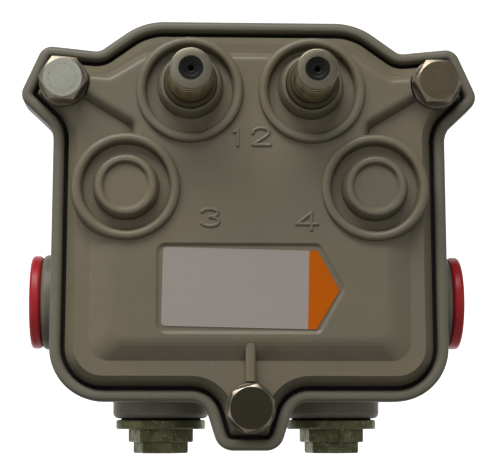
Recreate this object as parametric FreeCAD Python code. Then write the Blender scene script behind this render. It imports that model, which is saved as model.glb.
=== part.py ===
import FreeCAD, Part
import math
import os

# Cable tap, millimetres. While the pieces are made, X is right, Y is back into the housing, Z is up,
# Y zero is the front of the housing's rim and Z zero is level with the middle of the rim.
# When a piece is written, it is moved so that the strand's axis in its clamp is the origin.

V = FreeCAD.Vector

# Rim outline: half width or height of each corner, and each corner's own radius
TOP_Z = 52.5
SHOULDER_X = 25.7
SHOULDER_R = 16.0
NECK_X = 36.2
NECK_Z = 45.0
NECK_R = 3.2
EAR_TOP_X = 49.7
EAR_TOP_Z = 46.4
EAR_TOP_R = 3.4
EAR_TIP_X = 55.4
EAR_TIP_Z = 33.7
EAR_TIP_R = 3.5
WAIST_X = 47.0
WAIST_Z = 25.8
WAIST_R = 5.5
SIDE_X = 47.5
BOTTOM_Z = -38.9
BOTTOM_R = 12.8
LOBE_ROOT_X = 10.7
LOBE_ROOT_R = 4.5
LOBE_X = 7.1
LOBE_Z = -50.4
LOBE_R = 4.4
LEAST_CORNER_R = 0.6

# How far a cut runs past the piece that it goes through
CUT_PAST = 2.0

# Rim, seat and gaskets
RIM_WIDTH = 2.7
RIM_NOSE_R = 1.25
RIM_DEPTH = 4.0
FLANGE_DEPTH = 9.0
COVER_GAP = 1.0
WEATHER_T = 1.0
WEATHER_EDGE_GAP = 0.15
WEATHER_LAND = 2.6
RF_WALL = 0.8
RF_WIDTH = 1.2
RF_GROOVE_DEPTH = 1.1

# Housing behind the rim
HOUSING_DEPTH = 38.0
BODY_INSET = 3.0
BODY_DRAFT = 1.6
BODY_BACK_R = 3.5
BODY_TOP_X = 22.5
BODY_SHOULDER_Z = 36.0
BODY_CORNER_R = 9.0
BACK_WALL = 2.8
CAVITY_TOP_X = 21.5
CAVITY_TOP_Z = 45.0
CAVITY_X = 39.6
CAVITY_SHOULDER_Z = 31.5
CAVITY_BOTTOM_Z = -31.0
CAVITY_R = 7.0
CAVITY_DRAFT = 0.7

# Cover bolts, one at each ear and one in the bottom lobe
EAR_BOLT_X = 44.4
EAR_BOLT_Z = 36.7
LOBE_BOLT_Z = -40.5
BOLT_R = 3.0
BOLT_LENGTH = 14.0
BOLT_LEAD = 0.6
BOLT_HEX = 10.0
BOLT_HEAD_H = 4.2
HEX_FACE = 0.91
LOBE_HEX_FACE = 0.985
HEX_BEVEL = 30.0
BOLT_HOLE_CLEARANCE = 0.05
BOLT_END_ROOM = 1.5
BOLT_END_WALL = 2.0
BOLT_BOSS_WALL = 2.6
BOLT_PAD_R = 5.9
BOLT_PAD_H = 0.7
WASHER_R = 5.9
WASHER_T = 1.1
WASHER_EDGE_R = 0.275
WASHER_CLEARANCE = 0.25
SPOT_FACE_ROOM = 0.4

# Cover
COVER_T = 5.5
COVER_SKIRT_W = 2.3
COVER_SKIRT_H = 3.6
COVER_WALL = 2.6
PLATEAU_H = 2.5
PLATEAU_BOTTOM_Z = -29.4
PLATEAU_FOOT = [
    (25.0, 44.2, 6.0), (34.0, 38.9, 2.5), (42.5, 39.4, 2.0), (43.5, 35.0, 2.0),
    (26.4, 24.6, 2.5), (37.9, 15.0, 4.0), (37.9, PLATEAU_BOTTOM_Z, 4.5),
]
PLATEAU_CREST = [
    (24.4, 42.9, 6.0), (33.4, 37.4, 2.5), (41.5, 38.0, 2.0), (42.3, 35.7, 2.0),
    (25.4, 26.0, 2.5), (33.0, 18.0, 4.0), (33.0, -24.8, 3.5),
]
PLATEAU_BLEND_SLOPE = 0.45
PLATEAU_BLEND_FLAT = 1.2
PLATEAU_BLEND_STEPS = 4
TONGUE_CLEARANCE = 0.35
TONGUE_WALL = 1.8
TONGUE_DEPTH = 5.0
LOBE_RIB_W = 2.4
LOBE_RIB_H = 2.1
LOBE_RIB_EDGE_R = 0.8
LOBE_RIB_TOP = 5.6
LOBE_RIB_END = 5.0

# Stations: a round ridge, a moat and a boss in the middle
F_RING_X = 14.5
F_RING_Z = 34.6
F_X = 14.35
F_Z = 35.7
BLANK_X = 29.4
BLANK_Z = 11.4
RING_R = 11.6
RING_NOSE_R = 1.15
RING_NOSE_START = 150.0
RING_NOSE_SWEEP = 120.0
RING_NOSE_STEPS = 8
RING_H = 1.5
RING_FOOT = 0.5
MOAT_R = 10.1
MOAT_DEPTH = 1.1
BOSS_FOOT_R = 7.9
BOSS_TOP_R = 7.0
BOSS_H = 3.2
BOSS_EDGE_R = 0.8
BLANK_RECESS_R = 5.75
BLANK_FLOOR_R = 5.0
BLANK_RECESS_DEPTH = 1.1
BLANK_EDGE_R = 0.4

# F ports, 3/8-32 thread
F_THREAD_R = 4.76
F_FLANGE_R = 6.3
F_FLANGE_T = 1.9
F_COLLAR_R = 5.2
F_COLLAR_T = 1.6
F_BARREL = 14.6
F_STEM_R = 4.6
F_STEM = 7.5
F_BORE_R = 2.7
F_BACK_BORE_R = 2.0
F_BACK_LIP = 1.2
F_END_CHAMFER = 0.5
F_FACE_SINK = 0.3
F_PIN_HOLE_R = 0.6
F_CONTACT_R = 1.0
F_CONTACT_SINK = 1.5
F_PIN_PAST_BOARD = 0.8

# Label in its pocket
LABEL_LEFT_X = -20.8
LABEL_TOP_Z = -3.3
LABEL_BOTTOM_Z = -21.8
LABEL_SHOULDER_X = 15.6
LABEL_TIP_X = 20.9
LABEL_SPLIT_X = 13.6
LABEL_TURN = 1.2
LABEL_T = 0.2
LABEL_EDGE_GAP = 0.7
LABEL_CORNER_R = 0.9
POCKET_DEPTH = 0.5
POCKET_SLOPE_W = 0.8

# Port bosses, 5/8-24 thread, and what closes them
PORT_Y = 23.0
SIDE_PORT_Z = -13.9
SIDE_BOSS_X = 50.6
BOTTOM_PORT_X = 21.2
BOTTOM_BOSS_Z = -42.7
PORT_BOSS_R = 11.8
PORT_BOSS_EDGE_R = 1.4
PORT_THREAD_R = 7.9
PORT_MOUTH_R = 8.2
PORT_MOUTH_DEPTH = 5.0
CAP_R = 11.55
CAP_T = 2.7
CAP_EDGE_R = 0.9
CAP_STEM_DEPTH = 4.6
CAP_STEM_WALL = 1.3
CAP_STEM_CLEARANCE = 0.06
CAP_DISH_R = 6.4
CAP_DISH_DEPTH = 1.2
PLUG_FLANGE_R = 11.0
PLUG_FLANGE_T = 2.3
PLUG_FLANGE_EDGE_R = 0.46
PLUG_HEX = 14.0
PLUG_HEX_H = 3.2
PLUG_NOSE_HEX = 11.8
PLUG_NOSE_H = 2.7
PLUG_EDGE_R = 0.45
PLUG_STEM = 7.2
PLUG_STEM_CLEARANCE = 0.06
PLUG_LEAD = 0.7
PLUG_SEAT_GAP = 0.35
SEAL_CORD_R = 0.9
SEAL_SQUEEZE = 0.15
SEAL_OFFSET = 1.25
SEAL_GROOVE_PLAY = 0.05

# Seizure parts, one set where each side port's axis crosses a bottom port's axis
POST_R = 4.2
POST_FRONT_Y = 14.5
POST_EDGE_R = 0.35
POST_SEAT = 2.0
WIRE_HOLE_R = 1.6
SCREW_R = 2.45
SCREW_BORE_CLEARANCE = 0.05
SCREW_LENGTH = 3.6
SCREW_SLOT = 0.8
SCREW_SLOT_DEPTH = 1.2
SADDLE_T = 0.8
SADDLE_GAP = 0.1
BLOCK_R = 7.8
BLOCK_FRONT_Y = 18.6
BLOCK_EDGE_R = 0.78
BLOCK_FOOT_R = 8.5
BLOCK_FOOT_T = 1.6
BLOCK_CLEARANCE = 0.1
FUNNEL_R = 3.6
FUNNEL_DEPTH = 2.4
SOCKET_WALL = 1.6
SOCKET_DEPTH = 3.6
RING_T = 0.8
RING_GRIP = 0.7
RING_PLAY = 0.1
RING_GROOVE = 0.6
RING_MOUTH = 50.0

# Circuit board module
BOARD_FRONT_Y = 5.0
BOARD_T = 1.6
BOARD_EDGE = 0.6
POST_X = 32.5
POST_TOP_Z = 22.5
POST_BOTTOM_Z = -25.8
STANDOFF_R = 2.8
BOARD_SCREW_R = 1.2
BOARD_SCREW_HEAD_R = 2.3
BOARD_SCREW_HEAD_H = 1.5
BOARD_SCREW_BITE = 5.0
SHIELD_X = 28.9
SHIELD_TOP_Z = 38.0
SHIELD_TOP_X = 15.0
SHIELD_SHOULDER_Z = 27.0
SHIELD_BOTTOM_Z = -28.0
SHIELD_CORNER_R = 3.0
SHIELD_DEPTH = 9.4
SHIELD_WALL = 0.6
SHIELD_HOLE_R = 6.2
CUP_CLEARANCE = 0.12
CUP_WALL = 0.6
CUP_BASE_T = 1.0
CUP_OVERLAP = 4.2
CUP_SLOT = 0.7
CUP_SLOTS = 4
CUP_SLOT_TURN = 45.0

# Parts on the board
COUPLER_X = -9.0
COUPLER_Z = 6.0
SPLITTER_X = 9.5
SPLITTER_Z = 16.0
CORE_R = 5.2
CORE_HOLE_R = 2.4
CORE_T = 3.6
CORE_LIFT = 0.9
WIRE_R = 0.35
CORE_TURNS = 6
CORE_WOUND = 300.0
TURN_GAP = 0.15
CHOKE_Z = -20.5
CHOKE_ROD_R = 2.2
CHOKE_ROD = 19.0
CHOKE_WIRE_R = 0.5
CHOKE_TURNS = 8
CHOKE_PITCH = 1.8
CAPACITOR_W = 6.4
CAPACITOR_H = 6.0
CAPACITOR_T = 2.8
CAPACITOR_SPACING = 8.2
CAPACITOR_COUNT = 4
CAPACITOR_Z = -9.0
CAPACITOR_EDGE_R = 0.6
CHIP_LENGTH = 2.0
CHIP_WIDTH = 1.25
CHIP_H = 0.55
CHIP_ROWS = 2
CHIP_COUNT = 5
CHIP_SPACING = 4.4
CHIP_ROW_SPACING = 5.0
CHIP_Z = 26.0

# Strand clamp on the back
STRAND_R = 3.3
STRAND_Z = 39.0
LUG_HALF_LENGTH = 14.0
LUG_TOP_Z = 45.0
LUG_BOTTOM_Z = 20.5
LUG_DEPTH = 8.5
LUG_CORNER_R = 2.0
JAW_GAP = 1.0
JAW_T = 7.2
JAW_MARGIN = 1.2
HEEL_Z = 23.6
HEEL_R = 1.4
STRAND_BOLT_Z = 30.0
STRAND_BOLT_R = 3.95
STRAND_BOLT_HEX = 12.7
STRAND_BOLT_HEAD_H = 5.3
STRAND_BOLT_BITE = 8.4
STRAND_BOLT_LEAD = 0.79
STRAND_HOLE_CLEARANCE = 0.05
JAW_HOLE_CLEARANCE = 0.35
LOCK_WASHER_R = 7.0
LOCK_WASHER_T = 2.0
LOCK_WASHER_SLOT = 1.2

# Tapped bosses on the back for a pedestal bracket
PEDESTAL_X = 25.4
PEDESTAL_Z = -4.0
PEDESTAL_BOSS_R = 5.5
PEDESTAL_BOSS_H = 3.0
PEDESTAL_HOLE_R = 2.55
PEDESTAL_HOLE_DEPTH = 3.9
BACK_RIB_W = 2.0
BACK_RIB_H = 1.6
BACK_RIB_EDGE_R = 0.8
BACK_RIB_SPACING = 12.7
BACK_RIB_COUNT = 3
BACK_RIB_TOP_Z = 16.0
BACK_RIB_BOTTOM_Z = -26.0

# Heights that follow from the stack of pieces
SEAT_Y = RIM_DEPTH
COVER_BACK_Y = SEAT_Y - WEATHER_T
SHELF_Y = COVER_BACK_Y - COVER_T
PLATEAU_Y = SHELF_Y - PLATEAU_H
BOSS_TOP_Y = PLATEAU_Y - BOSS_H
PAD_Y = SHELF_Y - BOLT_PAD_H
F_TIP_Y = BOSS_TOP_Y - F_FLANGE_T - F_BARREL
BOARD_BACK_Y = BOARD_FRONT_Y + BOARD_T
FLOOR_Y = HOUSING_DEPTH - BACK_WALL
LUG_BACK_Y = HOUSING_DEPTH + LUG_DEPTH
STRAND_Y = LUG_BACK_Y + JAW_GAP / 2
JAW_FRONT_Y = LUG_BACK_Y + JAW_GAP
JAW_BACK_Y = JAW_FRONT_Y + JAW_T
PORT_HOLE_R = PORT_THREAD_R
BOLT_HOLE_R = BOLT_R + BOLT_HOLE_CLEARANCE
BOLTS = {
    "left": (-EAR_BOLT_X, EAR_BOLT_Z),
    "right": (EAR_BOLT_X, EAR_BOLT_Z),
    "bottom": (0.0, LOBE_BOLT_Z),
}
BOLT_TURNS = {"left": 4.0, "right": 0.0, "bottom": -17.5}
BOLT_FACES = {"left": HEX_FACE, "right": HEX_FACE, "bottom": LOBE_HEX_FACE}
PLUG_TURNS = {-1: 9.0, 1: 17.5}
SIDES = {"left": -1, "right": 1}
F_PORTS = {"1": -F_X, "2": F_X}

RIM_CORNERS = [
    (SHOULDER_X, TOP_Z, SHOULDER_R),
    (NECK_X, NECK_Z, NECK_R),
    (EAR_TOP_X, EAR_TOP_Z, EAR_TOP_R),
    (EAR_TIP_X, EAR_TIP_Z, EAR_TIP_R),
    (WAIST_X, WAIST_Z, WAIST_R),
    (SIDE_X, BOTTOM_Z, BOTTOM_R),
    (LOBE_ROOT_X, BOTTOM_Z, LOBE_ROOT_R),
    (LOBE_X, LOBE_Z, LOBE_R),
]
BODY_CORNERS = [
    (BODY_TOP_X, TOP_Z - BODY_INSET, BODY_CORNER_R),
    (WAIST_X - BODY_INSET, BODY_SHOULDER_Z, BODY_CORNER_R),
    (SIDE_X - BODY_INSET, BOTTOM_Z + BODY_INSET, BODY_CORNER_R),
]
CAVITY_CORNERS = [
    (CAVITY_TOP_X, CAVITY_TOP_Z, CAVITY_R),
    (CAVITY_X, CAVITY_SHOULDER_Z, CAVITY_R),
    (CAVITY_X, CAVITY_BOTTOM_Z, CAVITY_R),
]
SHIELD_CORNERS = [
    (SHIELD_TOP_X, SHIELD_TOP_Z, SHIELD_CORNER_R),
    (SHIELD_X, SHIELD_SHOULDER_Z, SHIELD_CORNER_R),
    (SHIELD_X, SHIELD_BOTTOM_Z, SHIELD_CORNER_R),
]


# Outlines in the X-Z plane

def mirrored(half):
    """A closed loop from its right half, top to bottom, and the mirror image of that half."""
    return half + [(-x, z, r) for x, z, r in reversed(half)]


def inset(loop, distance):
    """The loop with every side moved inwards; outer corners shrink and inner corners grow."""
    count = len(loop)
    sides = []
    for i in range(count):
        x0, z0, _ = loop[i]
        x1, z1, _ = loop[(i + 1) % count]
        length = math.hypot(x1 - x0, z1 - z0)
        dx, dz = (x1 - x0) / length, (z1 - z0) / length
        sides.append((x0 + dz * distance, z0 - dx * distance, dx, dz))
    moved = []
    for i in range(count):
        ax, az, adx, adz = sides[i - 1]
        bx, bz, bdx, bdz = sides[i]
        cross = adx * bdz - adz * bdx
        along = ((bx - ax) * bdz - (bz - az) * bdx) / cross
        turn = distance if cross < 0 else -distance
        radius = max(loop[i][2] - turn, LEAST_CORNER_R)
        moved.append((ax + adx * along, az + adz * along, radius))
    return moved


def shrunk(half, distance):
    """The closed loop of a right half, set in by a distance (out where it is negative)."""
    return inset(mirrored(half), distance)


def wire(loop, y):
    """A wire at depth y of straight sides joined by arcs that touch them."""
    count = len(loop)
    starts, ends, middles = [], [], []
    for i in range(count):
        here = V(loop[i][0], y, loop[i][1])
        back = V(loop[i - 1][0], y, loop[i - 1][1]) - here
        ahead = V(loop[(i + 1) % count][0], y, loop[(i + 1) % count][1]) - here
        back.normalize()
        ahead.normalize()
        half_angle = back.getAngle(ahead) / 2
        reach = loop[i][2] / math.tan(half_angle)
        bisector = back + ahead
        bisector.normalize()
        centre = here + bisector * (loop[i][2] / math.sin(half_angle))
        starts.append(here + back * reach)
        ends.append(here + ahead * reach)
        middles.append(centre - bisector * loop[i][2])
    edges = []
    for i in range(count):
        edges.append(Part.Arc(starts[i], middles[i], ends[i]).toShape())
        edges.append(Part.LineSegment(ends[i], starts[(i + 1) % count]).toShape())
    return Part.Wire(edges)


def slab(loop, y0, y1):
    """A plate with the loop's outline from depth y0 to y1."""
    return Part.Face(wire(loop, y0)).extrude(V(0, y1 - y0, 0))


def tapered(loop0, y0, loop1, y1):
    """A block whose outline goes evenly from one loop to another."""
    return Part.makeLoft([wire(loop0, y0), wire(loop1, y1)], True, True)


# Round pieces along each axis

def rod_y(radius, x, z, y0, y1):
    return Part.makeCylinder(radius, y1 - y0, V(x, y0, z), V(0, 1, 0))


def rod_x(radius, y, z, x0, x1):
    low, high = min(x0, x1), max(x0, x1)
    return Part.makeCylinder(radius, high - low, V(low, y, z), V(1, 0, 0))


def rod_z(radius, x, y, z0, z1):
    low, high = min(z0, z1), max(z0, z1)
    return Part.makeCylinder(radius, high - low, V(x, y, low), V(0, 0, 1))


def hex_prism(across_flats, height, foot, axis, turn):
    """A hexagonal prism from its foot along an axis, turned about it by an angle in degrees."""
    circle_r = across_flats / math.sqrt(3)
    corners = []
    for i in range(6):
        angle = math.radians(60 * i + turn)
        corners.append(V(circle_r * math.cos(angle), circle_r * math.sin(angle), 0))
    prism = Part.Face(Part.makePolygon(corners + corners[:1])).extrude(V(0, 0, height))
    prism.Placement = FreeCAD.Placement(foot, FreeCAD.Rotation(V(0, 0, 1), axis))
    return prism


def turned(points, x, z):
    """A solid of revolution about a line along Y, from (radius, depth) points in order."""
    outline = [V(radius, depth, 0) for radius, depth in points]
    face = Part.Face(Part.makePolygon(outline + outline[:1]))
    solid = face.revolve(V(0, 0, 0), V(0, 1, 0), 360)
    solid.translate(V(x, 0, z))
    return solid


def rounded(shape, radius, chosen):
    """The shape with the edges that the test chooses filleted."""
    edges = [edge for edge in shape.Edges if chosen(edge)]
    return shape.makeFillet(radius, edges)


def at_depth(y):
    """A test for edges that lie wholly at one depth."""
    def test(edge):
        box = edge.BoundBox
        return abs(box.YMin - y) < 1e-3 and abs(box.YMax - y) < 1e-3
    return test


def joined(first, *others):
    """One solid from overlapping ones, with split faces merged."""
    return first.fuse(list(others)).removeSplitter()


def write(name, shape):
    """Moves a piece from the housing's frame to the strand's and writes it."""
    placed = shape.copy()
    placed.translate(V(0, -STRAND_Y, -STRAND_Z))
    placed.exportStep(os.path.join("parts", name + ".step"))


# Rear housing

def bolt_tip_y():
    return PAD_Y - WASHER_T + BOLT_LENGTH


def port_boss(sign):
    """One side boss and one bottom boss, each a round stub with a rounded mouth."""
    side = rod_x(PORT_BOSS_R, PORT_Y, SIDE_PORT_Z, sign * CAVITY_X, sign * SIDE_BOSS_X)
    side = rounded(side, PORT_BOSS_EDGE_R, lambda e: abs(e.BoundBox.Center.x - sign * SIDE_BOSS_X) < 1e-3
                   and e.BoundBox.XLength < 1e-3)
    x = sign * BOTTOM_PORT_X
    bottom = rod_z(PORT_BOSS_R, x, PORT_Y, CAVITY_BOTTOM_Z, BOTTOM_BOSS_Z)
    bottom = rounded(bottom, PORT_BOSS_EDGE_R, lambda e: abs(e.BoundBox.Center.z - BOTTOM_BOSS_Z) < 1e-3
                     and e.BoundBox.ZLength < 1e-3)
    return [side, bottom]


def port_bores(sign):
    """The bores through one side boss and one bottom boss into the cavity."""
    inner_x = sign * (CAVITY_X - CAVITY_DRAFT - CUT_PAST)
    mouth_x = sign * (SIDE_BOSS_X - PORT_MOUTH_DEPTH)
    inner_z = CAVITY_BOTTOM_Z + CAVITY_DRAFT + CUT_PAST
    x = sign * BOTTOM_PORT_X
    return [
        rod_x(PORT_HOLE_R, PORT_Y, SIDE_PORT_Z, inner_x, sign * SIDE_BOSS_X),
        rod_x(PORT_MOUTH_R, PORT_Y, SIDE_PORT_Z, mouth_x, sign * SIDE_BOSS_X),
        rod_z(PORT_HOLE_R, x, PORT_Y, inner_z, BOTTOM_BOSS_Z),
    ]


def strand_lug():
    """The cast lug on the back: a block with rounded ends, its groove and its heel rest."""
    lug = Part.makeBox(2 * LUG_HALF_LENGTH, LUG_DEPTH + BACK_WALL, LUG_TOP_Z - LUG_BOTTOM_Z,
                       V(-LUG_HALF_LENGTH, FLOOR_Y, LUG_BOTTOM_Z))
    lug = rounded(lug, LUG_CORNER_R, lambda e: e.BoundBox.YLength > LUG_DEPTH)
    groove = rod_x(STRAND_R, STRAND_Y, STRAND_Z, -LUG_HALF_LENGTH - CUT_PAST, LUG_HALF_LENGTH + CUT_PAST)
    hole_r = STRAND_BOLT_R + STRAND_HOLE_CLEARANCE
    hole = rod_y(hole_r, 0, STRAND_BOLT_Z, LUG_BACK_Y - STRAND_BOLT_BITE - BOLT_END_ROOM, LUG_BACK_Y)
    return lug.cut([groove, hole])


def back_details():
    """Pedestal bosses and upright ribs on the back wall."""
    details = []
    for sign in SIDES.values():
        details.append(rod_y(PEDESTAL_BOSS_R, sign * PEDESTAL_X, PEDESTAL_Z,
                             FLOOR_Y, HOUSING_DEPTH + PEDESTAL_BOSS_H))
    first_x = -BACK_RIB_SPACING * (BACK_RIB_COUNT - 1) / 2
    for i in range(BACK_RIB_COUNT):
        rib = Part.makeBox(BACK_RIB_W, BACK_RIB_H + BACK_WALL, BACK_RIB_TOP_Z - BACK_RIB_BOTTOM_Z,
                           V(first_x + i * BACK_RIB_SPACING - BACK_RIB_W / 2, FLOOR_Y, BACK_RIB_BOTTOM_Z))
        details.append(rounded(rib, BACK_RIB_EDGE_R, at_depth(HOUSING_DEPTH + BACK_RIB_H)))
    return details


def seizure_socket(sign):
    """The cast ring on the cavity's floor that a seizure block turns in."""
    x = sign * BOTTOM_PORT_X
    bore_r = BLOCK_FOOT_R + BLOCK_CLEARANCE
    top_y = FLOOR_Y - SOCKET_DEPTH
    ring = rod_y(bore_r + SOCKET_WALL, x, SIDE_PORT_Z, top_y, FLOOR_Y)
    return ring.cut(rod_y(bore_r, x, SIDE_PORT_Z, top_y, FLOOR_Y))


def ring_groove(sign):
    """The groove in that ring for the snap ring that holds the block down."""
    x = sign * BOTTOM_PORT_X
    y = FLOOR_Y - BLOCK_FOOT_T - RING_PLAY - RING_T - RING_PLAY
    groove_r = BLOCK_FOOT_R + BLOCK_CLEARANCE + RING_GROOVE
    return rod_y(groove_r, x, SIDE_PORT_Z, y, y + RING_T + 2 * RING_PLAY)


def rear_housing():
    rim = slab(mirrored(RIM_CORNERS), 0, FLANGE_DEPTH)
    recess = slab(shrunk(RIM_CORNERS, RIM_WIDTH), 0, SEAT_Y)
    rim = rim.cut(recess)
    rim = rounded(rim, RIM_NOSE_R, at_depth(0))
    body = tapered(mirrored(BODY_CORNERS), SEAT_Y, shrunk(BODY_CORNERS, BODY_DRAFT), HOUSING_DEPTH)
    body = rounded(body, BODY_BACK_R, at_depth(HOUSING_DEPTH))
    pieces = [body, strand_lug()] + back_details()
    boss_end_y = bolt_tip_y() + BOLT_END_ROOM + BOLT_END_WALL
    for x, z in BOLTS.values():
        pieces.append(rod_y(BOLT_HOLE_R + BOLT_BOSS_WALL, x, z, SEAT_Y, boss_end_y))
    for sign in SIDES.values():
        pieces += port_boss(sign)
    housing = rim.fuse(pieces)
    groove_outer = shrunk(CAVITY_CORNERS, -RF_WALL - RF_WIDTH)
    cuts = [
        tapered(mirrored(CAVITY_CORNERS), SEAT_Y, shrunk(CAVITY_CORNERS, CAVITY_DRAFT), FLOOR_Y),
        slab(groove_outer, SEAT_Y, SEAT_Y + RF_GROOVE_DEPTH).cut(
            slab(shrunk(CAVITY_CORNERS, -RF_WALL), SEAT_Y, SEAT_Y + RF_GROOVE_DEPTH)),
    ]
    for x, z in BOLTS.values():
        cuts.append(rod_y(BOLT_HOLE_R, x, z, SEAT_Y, bolt_tip_y() + BOLT_END_ROOM))
    for sign in SIDES.values():
        cuts += port_bores(sign)
        cuts.append(rod_y(PEDESTAL_HOLE_R, sign * PEDESTAL_X, PEDESTAL_Z,
                          HOUSING_DEPTH + PEDESTAL_BOSS_H - PEDESTAL_HOLE_DEPTH,
                          HOUSING_DEPTH + PEDESTAL_BOSS_H))
    housing = housing.cut(cuts)
    housing = housing.fuse([seizure_socket(sign) for sign in SIDES.values()])
    housing = housing.cut([ring_groove(sign) for sign in SIDES.values()])
    return housing.removeSplitter()


def weather_gasket():
    """The flat rubber frame between seat and cover, with a hole for each bolt."""
    outer = shrunk(RIM_CORNERS, RIM_WIDTH + WEATHER_EDGE_GAP)
    inner = shrunk(CAVITY_CORNERS, -WEATHER_LAND)
    frame = slab(outer, COVER_BACK_Y, SEAT_Y).cut(slab(inner, COVER_BACK_Y, SEAT_Y))
    holes = [rod_y(BOLT_R + 2 * WASHER_CLEARANCE, x, z, COVER_BACK_Y, SEAT_Y) for x, z in BOLTS.values()]
    return frame.cut(holes)


def rf_gasket():
    """The conductive cord in its groove, which the cover's back closes."""
    outer = shrunk(CAVITY_CORNERS, -RF_WALL - RF_WIDTH)
    inner = shrunk(CAVITY_CORNERS, -RF_WALL)
    bottom_y = SEAT_Y + RF_GROOVE_DEPTH
    return slab(outer, COVER_BACK_Y, bottom_y).cut(slab(inner, COVER_BACK_Y, bottom_y))


# Cover

def station_profile():
    """Moat and ridge of a station in (radius, depth), from the boss's foot outwards."""
    crest_y = PLATEAU_Y - RING_H
    floor_y = PLATEAU_Y + MOAT_DEPTH
    points = [(BOSS_FOOT_R, floor_y), (MOAT_R, floor_y)]
    for step in range(RING_NOSE_STEPS + 1):
        angle = math.radians(RING_NOSE_START - RING_NOSE_SWEEP * step / RING_NOSE_STEPS)
        points.append((RING_R + RING_NOSE_R * math.cos(angle),
                       crest_y + RING_NOSE_R - RING_NOSE_R * math.sin(angle)))
    points.append((RING_R + RING_NOSE_R + RING_FOOT, SHELF_Y))
    points.append((RING_R + RING_NOSE_R + RING_FOOT, SHELF_Y + COVER_WALL / 2))
    return points


def station(x, z, boss_x, boss_z, blank):
    """One station: ridge and moat, and in them a boss, dished where no port is fitted."""
    base_y = SHELF_Y + COVER_WALL / 2
    floor_y = PLATEAU_Y + MOAT_DEPTH
    tray = turned([(0, base_y), (0, floor_y)] + station_profile(), x, z)
    boss_h = floor_y - BOSS_TOP_Y
    boss = Part.makeCone(BOSS_FOOT_R, BOSS_TOP_R, boss_h, V(boss_x, floor_y, boss_z), V(0, -1, 0))
    boss = rounded(boss, BOSS_EDGE_R, at_depth(BOSS_TOP_Y))
    if blank:
        mouth = V(boss_x, BOSS_TOP_Y, boss_z)
        boss = boss.cut(Part.makeCone(BLANK_RECESS_R, BLANK_FLOOR_R, BLANK_RECESS_DEPTH, mouth, V(0, 1, 0)))
        boss = rounded(boss, BLANK_EDGE_R, lambda e: at_depth(BOSS_TOP_Y)(e)
                       and e.BoundBox.XLength < 2 * BLANK_RECESS_R + 1e-3)
    return tray.fuse(boss)


def lobe_rib():
    """The upright rib from the plateau's lower slope to the bottom bolt's pad, its long edges rounded."""
    bottom_z = LOBE_BOLT_Z + LOBE_RIB_END
    length = PLATEAU_BOTTOM_Z + LOBE_RIB_TOP - bottom_z
    front_y = SHELF_Y - LOBE_RIB_H
    rib = Part.makeBox(LOBE_RIB_W, LOBE_RIB_H + COVER_WALL / 2, length, V(-LOBE_RIB_W / 2, front_y, bottom_z))
    return rounded(rib, LOBE_RIB_EDGE_R, lambda e: at_depth(front_y)(e) and e.BoundBox.ZLength > LOBE_RIB_W)


def between(loop0, loop1, share):
    """The loop part of the way from one loop to another with as many corners."""
    return [tuple(a + (b - a) * share for a, b in zip(p0, p1)) for p0, p1 in zip(loop0, loop1)]


def plateau():
    """The raised middle, which reaches out to both ear bolts: gentle slopes at the sides and the bottom,
    short ones at the top. Its edge is rounded by sections on a curve that leaves the slope and lands on
    the flat.
    """
    foot, crest = mirrored(PLATEAU_FOOT), mirrored(PLATEAU_CREST)
    slope_end, flat_start = between(crest, foot, PLATEAU_BLEND_SLOPE), inset(crest, PLATEAU_BLEND_FLAT)
    sections = [wire(foot, SHELF_Y)]
    for step in range(PLATEAU_BLEND_STEPS + 1):
        share = step / PLATEAU_BLEND_STEPS
        loop = between(between(slope_end, crest, share), between(crest, flat_start, share), share)
        sections.append(wire(loop, PLATEAU_Y + PLATEAU_H * PLATEAU_BLEND_SLOPE * (1 - share) ** 2))
    block = Part.makeLoft(sections, True, True)
    return block.fuse(slab(foot, SHELF_Y, SHELF_Y + COVER_WALL / 2))


def label_loop(gap):
    """The five-sided outline of the label or of its pocket, which is larger by a gap."""
    middle_z = (LABEL_TOP_Z + LABEL_BOTTOM_Z) / 2
    loop = [
        (LABEL_SHOULDER_X, LABEL_TOP_Z, LABEL_CORNER_R / 2),
        (LABEL_TIP_X, middle_z, LABEL_CORNER_R / 3),
        (LABEL_SHOULDER_X, LABEL_BOTTOM_Z, LABEL_CORNER_R / 2),
        (LABEL_LEFT_X, LABEL_BOTTOM_Z, LABEL_CORNER_R),
        (LABEL_LEFT_X, LABEL_TOP_Z, LABEL_CORNER_R),
    ]
    return inset(loop, -gap) if gap else loop


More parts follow.
